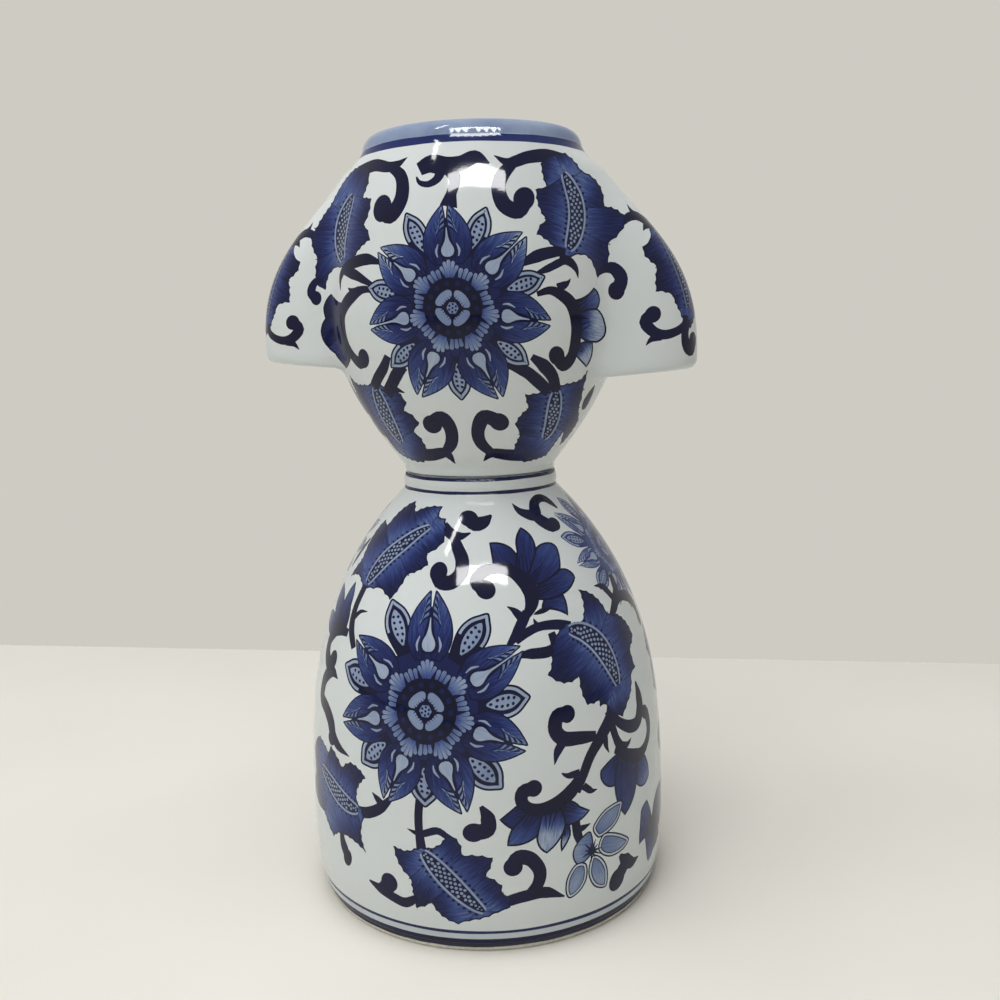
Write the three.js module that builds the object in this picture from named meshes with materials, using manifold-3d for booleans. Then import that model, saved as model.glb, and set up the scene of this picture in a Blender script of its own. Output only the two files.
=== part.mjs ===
// A porcelain flower vase in the shape of a short-sleeved dress on a dress form.
// It is cast in sections that are luted together with slip before glazing: a foot ring, a floor,
// a bell-shaped skirt, a beaded waist collar, an oval bodice, two closed cap sleeves and a rolled lip.
// Millimetres, +Z up. The origin is on the table, under the middle of the foot. The front faces -Y.
import * as THREE from "three";
import { mergeVertices } from "three/addons/utils/BufferGeometryUtils.js";
import Module from "manifold-3d";

const wasm = await Module();
wasm.setup();

// Joints: the film of slip that each luted joint keeps between its two faces.
const slipGap = 0.3;

// Foot ring, the unglazed ring that the vase stands on, with a spigot that centres it in the skirt.
const footInset = 0.8;
const footWidth = 5;
const footHeight = 2.2;
const footEdge = 0.8;
const footSpigotHeight = 4;
const footSpigotWall = 2.6;

// Skirt, a bell whose belly is a little above its bottom edge.
const skirtHeight = 117;
const skirtWall = 4.5;
const bellyRadius = 53.6;
const skirtTuck = 2.2;
const bellyRise = 19.5;
const waistRadius = 23.2;
const bellySharpness = 2.2;
const bellyFullness = 0.815;
const tuckSharpness = 2.6;

// Floor, a disc with a low dome that rests on the foot ring's spigot.
const floorThickness = 5;
const floorDome = 2;

// Waist collar, a bead with a spigot down into the skirt and another up into the bodice.
const collarHeight = 6.6;
const collarBeadRadius = 22.9;
const collarEdgeRadius = 22.2;
const collarSpigotHeight = 5;
const collarSpigotWall = 2.6;

// Bodice, an oval shell from the waist over the bust to just below the neckline.
const bodiceWall = 4.5;
const bodiceWaistRadius = 22.2;
const bustRise = 44.3;
const bustHalfWidth = 42.6;
const bustHalfDepth = 37.6;
const neckRise = 88.6;
const neckHalfWidth = 31.4;
const neckHalfDepth = 27.6;
const lowerSharpness = 1.9;
const lowerFullness = 1.05;
const upperSharpness = 2;

// Lip, the rolled rim above the bodice, with a spigot down into the neck.
const lipSkirt = 2.2;
const lipRise = 4.6;
const lipRoll = 3.6;
const lipThickness = 3.4;
const lipSpigotHeight = 5;

// Sleeves: how far they reach, their half depths, and each hem's height above the bodice's lower edge.
// A hem rises a little from the bodice's side to its outer end.
const sleeveReach = 63.7;
const leftHemRise = 29.2;
const rightHemRise = 24.9;
const hemLift = 1.6;
const hemRounding = 3.6;
const hemHalfDepth = 16;
const shoulderHalfDepth = 14;
const sleeveTaper = 1.5;
const shoulderDrop = 3;
const sleeveWall = 3.6;
const sleeveRoot = 8;
const sleeveSwell = 0.55;
const shoulderSharpness = 2.65;
const shoulderFullness = 1.45;
const sleeveSquareness = 2.3;
const armholeHeight = 42;

// Facets
const turnSegments = 48;
const ovalSegments = 44;
const sleeveSegments = 18;
const tuckRows = 3;
const skirtRows = 8;
const bodiceRows = 11;
const sleeveRows = 7;
const roundRows = 4;
const domeRows = 2;

// The bottom edge tucks in below the belly, and the foot ring lies a little inside it.
const skirtBottomRadius = bellyRadius - skirtTuck;
const footRadius = skirtBottomRadius - footInset;

// Heights of the joints above the table
const skirtBase = footHeight + slipGap;
const collarBase = skirtBase + skirtHeight + slipGap;
const bodiceBase = collarBase + collarHeight + slipGap;
const bodiceTop = neckRise - lipSkirt - slipGap;

// Materials
const glazedWhite = new THREE.MeshStandardMaterial({ color: 0xe4e7e6, roughness: 0.12, metalness: 0 });
const rimBlue = new THREE.MeshStandardMaterial({ color: 0x7f95bd, roughness: 0.12, metalness: 0 });
const bareFoot = new THREE.MeshStandardMaterial({ color: 0xd8d5c9, roughness: 0.75, metalness: 0 });

// Even steps from one value to another, both ends included.
function steps(from, to, count) {
  return Array.from({ length: count + 1 }, (_, i) => from + ((to - from) * i) / count);
}

// Quarter of an ellipse from (x0, y0) to (x1, y1) that leaves the first point upright.
function quarterRound(x0, y0, x1, y1, count = roundRows) {
  return steps(0, Math.PI / 2, count).map((a) => [
    x1 + (x0 - x1) * Math.cos(a),
    y0 + (y1 - y0) * Math.sin(a),
  ]);
}

// A solid of revolution about Z from [radius, height] points that close on themselves or on the axis.
function turned(profile) {
  const onAxis = profile[0][0] === 0;
  const loop = onAxis ? profile : [...profile, profile[0]];
  const area = loop.reduce((sum, [r, z], i) => {
    const [r2, z2] = loop[(i + 1) % loop.length];
    return sum + r * z2 - r2 * z;
  }, 0);
  const points = loop.map(([r, z]) => new THREE.Vector2(r, z));
  if (area < 0) points.reverse();
  return new THREE.LatheGeometry(points, turnSegments).rotateX(Math.PI / 2);
}

// A closed solid skinned over rings of points that each run anticlockwise seen from above, in rising order.
// With hollow set, the last ring joins the first, as on a ring that has a section of its own.
function skinned(rings, hollow = false) {
  const count = rings[0].length;
  const corners = rings.flat();
  const faces = [];
  const bands = hollow ? rings.length : rings.length - 1;
  for (let i = 0; i < bands; i++) {
    const low = i * count;
    const high = ((i + 1) % rings.length) * count;
    for (let j = 0; j < count; j++) {
      const k = (j + 1) % count;
      faces.push(low + j, low + k, high + k, low + j, high + k, high + j);
    }
  }
  if (!hollow) {
    const top = (rings.length - 1) * count;
    for (let j = 1; j < count - 1; j++) faces.push(0, j + 1, j, top, top + j, top + j + 1);
  }
  const geometry = new THREE.BufferGeometry().setFromPoints(corners);
  geometry.setIndex(faces);
  return geometry;
}

// An oval ring of points at one height.
function oval(halfWidth, halfDepth, z) {
  return steps(0, 2 * Math.PI, ovalSegments)
    .slice(0, -1)
    .map((a) => new THREE.Vector3(halfWidth * Math.cos(a), halfDepth * Math.sin(a), z));
}

function toSolid(geometry) {
  const bare = geometry.clone();
  bare.deleteAttribute("normal");
  bare.deleteAttribute("uv");
  const merged = mergeVertices(bare);
  return new wasm.Manifold(
    new wasm.Mesh({
      numProp: 3,
      vertProperties: merged.attributes.position.array,
      triVerts: new Uint32Array(merged.index.array),
    }),
  );
}

function toGeometry(solid) {
  const { vertProperties, triVerts } = solid.getMesh();
  const geometry = new THREE.BufferGeometry();
  geometry.setAttribute("position", new THREE.BufferAttribute(vertProperties, 3));
  geometry.setIndex(new THREE.BufferAttribute(triVerts, 1));
  geometry.computeVertexNormals();
  return geometry;
}

function piece(name, geometry, material, z) {
  const mesh = new THREE.Mesh(geometry, material);
  mesh.name = name;
  mesh.position.z = z;
  return mesh;
}

// Skirt's outer radius at a height above its bottom edge.
function skirtRadius(z) {
  if (z < bellyRise) {
    const drop = (bellyRise - z) / bellyRise;
    return skirtBottomRadius + (bellyRadius - skirtBottomRadius) * (1 - drop ** tuckSharpness);
  }
  const rise = Math.min(1, (z - bellyRise) / (skirtHeight - bellyRise));
  return waistRadius + (bellyRadius - waistRadius) * (1 - rise ** bellySharpness) ** bellyFullness;
}

// The rows above the belly crowd towards the waist, where the bell turns in fastest.
function skirtLevels() {
  const tuck = steps(0, bellyRise, tuckRows);
  const bell = steps(0, Math.PI / 2, skirtRows).slice(1);
  return [...tuck, ...bell.map((a) => bellyRise + (skirtHeight - bellyRise) * Math.sin(a))];
}

// Radius of the bell's facets, which cut the corners of its curve between two rows.
function skirtFacetRadius(z) {
  const levels = skirtLevels();
  const i = Math.max(1, levels.findIndex((level) => level >= z));
  const share = (z - levels[i - 1]) / (levels[i] - levels[i - 1]);
  return skirtRadius(levels[i - 1]) * (1 - share) + skirtRadius(levels[i]) * share;
}

function skirtShell() {
  const outer = skirtLevels().map((z) => [skirtRadius(z), z]);
  const inner = skirtLevels().map((z) => [skirtRadius(z) - skirtWall, z]);
  return turned([...outer, ...inner.reverse()]);
}

function footRing() {
  const spigotRadius = skirtRadius(0) - skirtWall - slipGap;
  const spigotTop = footHeight + footSpigotHeight;
  const footInside = Math.min(footRadius - footWidth, spigotRadius - footSpigotWall);
  return turned([
    [footInside, footEdge],
    [footInside + footEdge, 0],
    [footRadius - footEdge, 0],
    [footRadius, footEdge],
    [footRadius, footHeight],
    [spigotRadius, footHeight],
    [spigotRadius, spigotTop],
    [spigotRadius - footSpigotWall, spigotTop],
  ]);
}

// The floor's edge follows the skirt's inside, one joint away from it.
function vaseFloor(base) {
  const inside = (z) => skirtFacetRadius(base + z - skirtBase) - skirtWall - slipGap;
  const face = (z) =>
    steps(0, 1, domeRows).map((share) => [inside(z) * share, z + floorDome * (1 - share ** 2)]);
  return turned([...face(0), ...face(floorThickness).reverse()]);
}

function waistCollar() {
  const lowerSpigot = waistRadius - skirtWall - slipGap;
  const upperSpigot = bodiceWaistRadius - bodiceWall - slipGap;
  const bore = Math.min(lowerSpigot, upperSpigot) - collarSpigotWall;
  const bulge = collarBeadRadius - collarEdgeRadius;
  const bead = steps(0, Math.PI, 2 * roundRows).map((a) => [
    collarEdgeRadius + bulge * Math.sin(a),
    (collarHeight * (1 - Math.cos(a))) / 2,
  ]);
  return turned([
    [bore, -collarSpigotHeight],
    [lowerSpigot, -collarSpigotHeight],
    [lowerSpigot, 0],
    ...bead,
    [upperSpigot, collarHeight],
    [upperSpigot, collarHeight + collarSpigotHeight],
    [bore, collarHeight + collarSpigotHeight],
  ]);
}

// Half width or half depth of the bodice at a height above its lower edge.
function bodiceHalf(z, bust, neck) {
  if (z < bustRise) {
    const drop = Math.min(1, (bustRise - z) / bustRise);
    return bodiceWaistRadius + (bust - bodiceWaistRadius) * (1 - drop ** lowerSharpness) ** lowerFullness;
  }
  const rise = (z - bustRise) / (neckRise - bustRise);
  return neck + (bust - neck) * (1 - rise ** upperSharpness);
}

// The bodice as one solid, grown or shrunk by an even margin.
function bodiceSolid(margin, low, high) {
  const levels = steps(low, high, bodiceRows);
  return toSolid(
    skinned(
      levels.map((z) =>
        oval(
          bodiceHalf(z, bustHalfWidth, neckHalfWidth) + margin,
          bodiceHalf(z, bustHalfDepth, neckHalfDepth) + margin,
          z,
        ),
      ),
    ),
  );
}

// How far the shoulder line and sleeve reach from the axis at a height above the bodice's lower edge.
function shoulderReach(z, hemRise) {
  const fullReach = hemRise + hemRounding;
  const climb = Math.max(0, (z - fullReach) / (neckRise - fullReach));
  const gain = (1 - climb ** shoulderSharpness) ** shoulderFullness;
  return neckHalfWidth + (sleeveReach - neckHalfWidth) * gain;
}

function sleeveHalfDepth(z, hemRise) {
  const climb = Math.max(0, (z - hemRise - hemRounding) / (neckRise - hemRise - hemRounding));
  return hemHalfDepth + (shoulderHalfDepth - hemHalfDepth) * climb ** sleeveTaper;
}

// A D-shaped ring: flat at the sleeve's root inside the bodice, with straight sides and a round outer end.
function sleeveRing(reach, halfDepth, z, lift = 0) {
  const swell = reach * sleeveSwell;
  const round = steps(-Math.PI / 2, Math.PI / 2, sleeveSegments).map((a) => {
    const along = Math.abs(a) === Math.PI / 2 ? 0 : Math.cos(a) ** (2 / sleeveSquareness);
    const across = Math.sign(a) * Math.abs(Math.sin(a)) ** (2 / sleeveSquareness);
    return [swell + (reach - swell) * along, halfDepth * across];
  });
  return [[sleeveRoot, -halfDepth], ...round, [sleeveRoot, halfDepth]].map(([x, y]) => {
    const outward = Math.max(0, (x - bustHalfWidth) / (sleeveReach - bustHalfWidth));
    return new THREE.Vector3(x, y, z + lift * outward);
  });
}

// The sleeve's outside as one solid that runs into the bodice, with a rounded hem.
function sleeveOutside(hemRise) {
  const rounded = steps(0, Math.PI / 2, roundRows).map((a) => {
    const inset = hemRounding * (1 - Math.sin(a));
    const z = hemRise + hemRounding * (1 - Math.cos(a));
    return sleeveRing(sleeveReach - inset, hemHalfDepth - inset, z, hemLift);
  });
  const upper = steps(hemRise + hemRounding, bodiceTop - shoulderDrop, sleeveRows)
    .slice(1)
    .map((z) => sleeveRing(shoulderReach(z, hemRise), sleeveHalfDepth(z, hemRise), z));
  return toSolid(skinned([...rounded, ...upper]));
}

// The hollow inside the sleeve, which opens into the bodice through the armhole.
function sleeveHollow(hemRise) {
  const low = hemRise + sleeveWall;
  const rings = steps(low, low + armholeHeight, sleeveRows).map((z) => {
    const lift = z === low ? hemLift : 0;
    return sleeveRing(shoulderReach(z, hemRise) - sleeveWall, sleeveHalfDepth(z, hemRise) - sleeveWall, z, lift);
  });
  return toSolid(skinned(rings));
}

// The same shape on the vase's left, half a turn round its axis.
function onSide(solid, side) {
  return side < 0 ? solid.rotate([0, 0, 180]) : solid;
}

function sleeve(side, hemRise) {
  const body = bodiceSolid(slipGap, 0, neckRise + slipGap);
  const shell = sleeveOutside(hemRise).subtract(sleeveHollow(hemRise));
  return toGeometry(onSide(shell, side).subtract(body));
}

function bodiceShell() {
  const outside = bodiceSolid(0, 0, bodiceTop);
  const inside = bodiceSolid(-bodiceWall, -bodiceWall, bodiceTop + bodiceWall);
  const shell = outside
    .subtract(inside)
    .subtract(onSide(sleeveHollow(rightHemRise), 1))
    .subtract(onSide(sleeveHollow(leftHemRise), -1));
  return toGeometry(shell);
}

// The lip's section runs round the neck's oval: up its outside, over the roll and down inside to the spigot.
function neckLip() {
  const joint = neckRise - lipSkirt;
  const width = (z) => bodiceHalf(z, bustHalfWidth, neckHalfWidth);
  const depth = (z) => bodiceHalf(z, bustHalfDepth, neckHalfDepth);
  const spigotInset = width(bodiceTop) - width(neckRise) - bodiceWall - slipGap;
  const bore = -lipRoll - lipThickness;
  const outside = steps(joint, neckRise, 2).map((z) => oval(width(z), depth(z), z));
  const roll = [
    ...quarterRound(0, neckRise, -lipRoll, neckRise + lipRise).slice(1),
    ...quarterRound(bore, neckRise, -lipRoll, neckRise + lipRise).reverse().slice(1),
    [bore, bodiceTop - lipSpigotHeight],
    [spigotInset, bodiceTop - lipSpigotHeight],
    [spigotInset, joint],
  ].map(([inset, z]) => oval(neckHalfWidth + inset, neckHalfDepth + inset, z));
  return skinned([...outside, ...roll], true);
}

const floorBase = footHeight + footSpigotHeight + slipGap;

const lowerDress = new THREE.Group();
lowerDress.add(
  piece("foot_ring", footRing(), bareFoot, 0),
  piece("vase_floor", vaseFloor(floorBase), glazedWhite, floorBase),
  piece("skirt_shell", skirtShell(), glazedWhite, skirtBase),
);

const upperDress = new THREE.Group();
upperDress.position.z = bodiceBase;
upperDress.add(
  piece("bodice_shell", bodiceShell(), glazedWhite, 0),
  piece("right_sleeve", sleeve(1, rightHemRise), glazedWhite, 0),
  piece("left_sleeve", sleeve(-1, leftHemRise), glazedWhite, 0),
  piece("neck_lip", neckLip(), rimBlue, 0),
);

const vase = new THREE.Group();
vase.name = "dress_form_vase";
vase.add(lowerDress, piece("waist_collar", waistCollar(), glazedWhite, collarBase), upperDress);

export default vase;
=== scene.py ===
import math

import bpy
import numpy as np
from mathutils import Matrix, Vector
from mathutils.geometry import delaunay_2d_cdt


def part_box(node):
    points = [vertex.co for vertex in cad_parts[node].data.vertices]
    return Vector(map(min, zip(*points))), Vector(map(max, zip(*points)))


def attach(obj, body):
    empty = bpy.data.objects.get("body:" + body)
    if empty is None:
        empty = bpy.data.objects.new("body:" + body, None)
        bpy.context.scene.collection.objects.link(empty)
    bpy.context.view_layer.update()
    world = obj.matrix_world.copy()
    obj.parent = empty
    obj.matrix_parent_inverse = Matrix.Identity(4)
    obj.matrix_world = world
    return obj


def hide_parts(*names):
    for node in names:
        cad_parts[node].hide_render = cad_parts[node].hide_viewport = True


# A porcelain vase in the shape of a short-sleeved dress,
# with a flower scroll in cobalt blue under the glaze.
# Shapes and painting are worked out in millimetres, and the meshes are made in metres.
# Angles run round the vase from the front, which faces -Y, towards +X.

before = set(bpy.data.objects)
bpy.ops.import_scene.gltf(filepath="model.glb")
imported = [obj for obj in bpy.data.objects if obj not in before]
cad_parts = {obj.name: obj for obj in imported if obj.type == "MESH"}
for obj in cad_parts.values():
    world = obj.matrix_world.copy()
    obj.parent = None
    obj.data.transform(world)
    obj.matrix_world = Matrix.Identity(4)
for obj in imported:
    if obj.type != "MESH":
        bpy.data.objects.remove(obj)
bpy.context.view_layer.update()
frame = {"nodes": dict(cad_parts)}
mm = 0.001
print("frame loaded:", ", ".join(frame["nodes"]))


def boxMm(node):
    low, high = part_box(node)
    return np.array(low) / mm, np.array(high) / mm


# Small helpers for the outlines

def lerp(a, b, t):
    return a + (b - a) * t


def smoothMax(a, b, width):
    near = np.maximum(width - np.abs(a - b), 0) / width
    return np.maximum(a, b) + near ** 3 * width / 6


def quadCurve(p0, p1, p2, t):
    return (1 - t) ** 2 * p0 + 2 * t * (1 - t) * p1 + t ** 2 * p2


def eased(t):
    return t * t * (3 - 2 * t)


def polar(r, turn):
    return np.array([r * math.cos(math.radians(turn)), r * math.sin(math.radians(turn))])


def runAlong(path):
    return np.concatenate([[0], np.cumsum(np.linalg.norm(np.diff(path, axis=0), axis=1))])


def signedArea(ring):
    after = np.roll(ring, -1, 0)
    return np.sum(ring[:, 0] * after[:, 1] - after[:, 0] * ring[:, 1])


# Unit vectors to the left of each way
def leftOf(ways):
    unit = ways / (np.linalg.norm(ways, axis=1, keepdims=True) + 1e-9)
    return np.stack([-unit[:, 1], unit[:, 0]], 1)


def addObject(name, data):
    item = bpy.data.objects.new(name, data)
    bpy.context.scene.collection.objects.link(item)
    return item


# The skin of a hollow piece: rings of points that run up the outside, over the rim and down the inside.
# A place on it is an angle q, even round each ring's length, and a height v along the front's outline.

class Skin:
    def __init__(self, radius, height, theta, columns=720):
        q = np.linspace(-math.pi, math.pi, columns + 1)
        grid = []
        lengths = []
        for r, z in zip(radius, height):
            ring = np.stack([r * np.sin(theta), -r * np.cos(theta), z], 1)
            run = runAlong(ring)
            middle = np.interp(0, theta, run)
            before, after = run / middle - 1, (run - middle) / (run[-1] - middle)
            turn = np.where(theta <= 0, before, after) * math.pi
            at = np.interp(q, turn, theta)
            rr, zz = np.interp(at, theta, r), np.interp(at, theta, z)
            grid.append(np.stack([rr * np.sin(at), -rr * np.cos(at), zz], 1))
            lengths.append(run[-1])
        self.grid = np.array(grid)
        self.q = q
        self.v = runAlong(self.grid[:, columns // 2])
        self.even = np.array(lengths) / (2 * math.pi)
        loop = self.grid[:-1, :-1]
        across = np.roll(loop, -1, 1) - np.roll(loop, 1, 1)
        up = np.roll(loop, -1, 0) - np.roll(loop, 1, 0)
        normal = np.cross(across, up)
        normal /= np.linalg.norm(normal, axis=2, keepdims=True) + 1e-12
        normal = np.concatenate([normal, normal[:, :1]], 1)
        self.normal = np.concatenate([normal, normal[:1]], 0)

    def ringRadius(self, v):
        return np.interp(v, self.v, self.even)

    def at(self, q, v):
        i = np.clip(np.searchsorted(self.v, v, side="right") - 1, 0, len(self.v) - 2)
        t = ((v - self.v[i]) / (self.v[i + 1] - self.v[i]))[:, None]
        turn = (q + math.pi) / (2 * math.pi) * (len(self.q) - 1)
        j = np.clip(turn.astype(int), 0, len(self.q) - 2)
        s = (turn - j)[:, None]
        out = []
        for table in (self.grid, self.normal):
            low = table[i, j] * (1 - s) + table[i, j + 1] * s
            high = table[i + 1, j] * (1 - s) + table[i + 1, j + 1] * s
            out.append(low * (1 - t) + high * t)
        return out


# Bodice, sleeves and rolled lip

bodiceForm = {
    "waistRadius": 22.2,
    "bustRise": 44.3, "bustHalfWidth": 42.6, "bustHalfDepth": 37.6,
    "neckRise": 88.6, "neckHalfWidth": 31.4, "neckHalfDepth": 27.6,
    "lowerSharpness": 1.9, "lowerFullness": 1.05, "upperSharpness": 2.0,
    "wall": 4.5, "lowerLap": 1.5, "lowerEdge": ((0.4, 0.0), (0.1, 0.15), (0.0, 0.5)),
    "shoulderSharpness": 2.65, "shoulderFullness": 1.45,
    "sleeveSquareness": 2.3, "sleeveSwell": 0.55,
    "hemHalfDepth": 16.0, "shoulderHalfDepth": 14.0, "sleeveTaper": 1.5, "hemLift": 1.6,
    "hemRounding": 3.4, "armpitRounding": 3.5, "hemStand": 6.0,
    "shoulderBlend": 16.0, "hemBlend": 8.0, "blendRise": 0.7, "neckFade": 0.12,
    "lipRoll": 3.6, "lipThickness": 3.4, "lipRise": 4.6, "boreDrops": (3.0, 7.0),
    "insideTop": 9.0, "insideEnd": 1.0, "lapEdge": 0.5,
    "points": 2881,
    "lowerRows": 24, "hemRows": 34, "upperRows": 36, "lipRows": 8, "insideRows": 22,
}


def bodiceSkin():
    form = bodiceForm
    base = boxMm("bodice_shell")[0][2]
    reach = boxMm("right_sleeve")[1][0]
    hemRight = boxMm("right_sleeve")[0][2] - base
    hemLeft = boxMm("left_sleeve")[0][2] - base
    theta = np.linspace(-math.pi, math.pi, form["points"])
    level = 0 * theta
    sine, cosine = np.sin(theta), np.cos(theta)
    hem = lerp(hemLeft, hemRight, (sine + 1) / 2)
    neck = form["neckRise"]

    def half(z, bust, neckHalf):
        drop = np.clip((form["bustRise"] - z) / form["bustRise"], 0, 1)
        lower = (1 - drop ** form["lowerSharpness"]) ** form["lowerFullness"]
        below = form["waistRadius"] + (bust - form["waistRadius"]) * lower
        rise = np.maximum(0, (z - form["bustRise"]) / (neck - form["bustRise"]))
        above = neckHalf + (bust - neckHalf) * (1 - rise ** form["upperSharpness"])
        return np.where(z < form["bustRise"], below, above)

    def ovalRing(z, margin=0.0):
        wide = half(z, form["bustHalfWidth"], form["neckHalfWidth"]) + margin
        deep = half(z, form["bustHalfDepth"], form["neckHalfDepth"]) + margin
        return 1 / np.sqrt((sine / wide) ** 2 + (cosine / deep) ** 2)

    # Radius of a sleeve's ring, which has straight sides and a round outer end, found by halving
    def sleeveRadius(side, deep, halvings=40):
        p = form["sleeveSquareness"]
        swell = side * form["sleeveSwell"]
        low, high = level, 2 * reach + level
        for _ in range(halvings):
            middle = (low + high) / 2
            outward = np.maximum(middle * np.abs(sine) - swell, 0) / (side - swell)
            within = outward ** p + (middle * np.abs(cosine) / deep) ** p < 1
            low, high = np.where(within, middle, low), np.where(within, high, middle)
        return low

    # The hem rises a little towards the outer end of each sleeve.
    stretch = reach - form["bustHalfWidth"]
    outermost = sleeveRadius(reach + level, form["hemHalfDepth"]) * np.abs(sine)
    hem = hem + form["hemLift"] * np.clip((outermost - form["bustHalfWidth"]) / stretch, 0, 1)

    # Body and sleeves as one, above the hem
    def dressed(z):
        full = hem + form["hemRounding"]
        climb = np.clip((z - full) / (neck - full), 0, 1)
        gain = (1 - climb ** form["shoulderSharpness"]) ** form["shoulderFullness"]
        side = lerp(form["neckHalfWidth"], reach, gain)
        deep = lerp(form["hemHalfDepth"], form["shoulderHalfDepth"], climb ** form["sleeveTaper"])
        sleeve = sleeveRadius(side, deep)
        body = ovalRing(z)
        width = lerp(form["hemBlend"], form["shoulderBlend"], climb ** form["blendRise"])
        fade = np.clip((1 - climb) / form["neckFade"], 0, 1)
        return lerp(body, smoothMax(body, sleeve, width), eased(fade))

    radius, height = [], []

    def row(r, z):
        radius.append(r + level)
        height.append(z + base + level)

    lap = -form["lowerLap"]
    waist = ovalRing(level)
    inner = ovalRing(level, -form["wall"])
    row(inner, lap)
    row(lerp(inner, waist, 0.5), lap)
    for back, up in form["lowerEdge"]:
        row(waist - back, lap + up)
    for t in np.linspace(0.02, 1, form["lowerRows"]):
        z = lerp(lap, hem - form["armpitRounding"], t)
        row(ovalRing(z), z)
    # Hem: round the outer edge, cross the underside and fillet into the body.
    # It closes up where no sleeve stands out.
    topZ, bottomZ = hem + form["hemRounding"], hem - form["armpitRounding"]
    topR, bottomR = dressed(topZ), ovalRing(bottomZ)
    stand = np.clip((topR - ovalRing(topZ)) / form["hemStand"], 0, 1)
    cornerIn = np.stack([ovalRing(hem), hem])
    cornerOut = np.stack([lerp(cornerIn[0], topR, eased(stand)), hem])
    over = np.maximum(cornerOut[0] - cornerIn[0], 1e-6)
    runIn = lerp(cornerIn, cornerOut, np.minimum(0.5, form["armpitRounding"] / over))
    runOut = lerp(cornerOut, cornerIn, np.minimum(0.5, form["hemRounding"] / over))
    bottom, top = np.stack([bottomR, bottomZ]), np.stack([topR, topZ])
    path = [quadCurve(bottom, cornerIn, runIn, t) for t in np.linspace(0, 1, 13)]
    path += [lerp(runIn, runOut, t) for t in np.linspace(0, 1, 9)[1:]]
    path += [quadCurve(runOut, cornerOut, top, t) for t in np.linspace(0, 1, 13)[1:]]
    path = np.array(path)
    run = np.cumsum(np.linalg.norm(np.diff(path, axis=0), axis=1), axis=0)
    run = np.concatenate([0 * run[:1], run])
    share = np.linspace(0, 1, form["hemRows"] + 1)[1:]
    even = np.array([[np.interp(share * run[-1, k], run[:, k], path[:, i, k]) for k in range(len(theta))]
                     for i in (0, 1)])
    for r, z in zip(even[0].T, even[1].T):
        row(r, z)
    for t in np.linspace(0, 1, form["upperRows"] + 1)[1:]:
        z = lerp(topZ, neck, t)
        row(dressed(z), z)

    # Lip: a roll from the neck line over the crest to the bore, then down inside
    def lipRow(a, back):
        row(ovalRing(neck + level, -back), neck + form["lipRise"] * math.sin(a))

    bore = form["lipRoll"] + form["lipThickness"]
    for a in np.linspace(0, math.pi / 2, form["lipRows"] + 1)[1:]:
        lipRow(a, form["lipRoll"] * (1 - math.cos(a)))
    for a in np.linspace(math.pi / 2, 0, form["lipRows"] + 1)[1:]:
        lipRow(a, bore - form["lipThickness"] * (1 - math.cos(a)))
    for drop in form["boreDrops"]:
        row(ovalRing(neck + level, -bore), neck - drop)
    for t in np.linspace(0, 1, form["insideRows"] + 2)[1:-1]:
        z = lerp(neck - form["insideTop"], lap + form["insideEnd"], t)
        row(ovalRing(z, -form["wall"]), z)
    row(inner, lap + form["lapEdge"])
    row(inner, lap)
    return Skin(radius, height, theta)


# Skirt with the beaded waist collar

skirtForm = {
    "wall": 4.5, "tuck": 2.2, "bellyRise": 19.5, "waistRadius": 23.2,
    "bellySharpness": 3.0, "bellyFullness": 0.97, "tuckSharpness": 2.6,
    "edgeRounding": 0.9,
    "grooveDepth": 0.75, "grooveSag": 0.1, "grooveRise": 0.8,
    "upperGrooveRadius": 22.3, "upperGrooveSag": 0.25,
    "beadRadius": 22.95, "beadLow": 1.0, "beadHigh": 5.1,
    "seatStep": 1.4, "seatRise": 0.1,
    "throatRadius": 14.8, "throatEdge": (1.0, 0.8), "throatDepth": 4.0,
    "points": 721,
    "edgeRows": 10, "tuckRows": 13, "bellRows": 60, "grooveRows": 6, "beadRows": 12,
    "insideRows": 25, "floorRows": 5,
}


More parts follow.
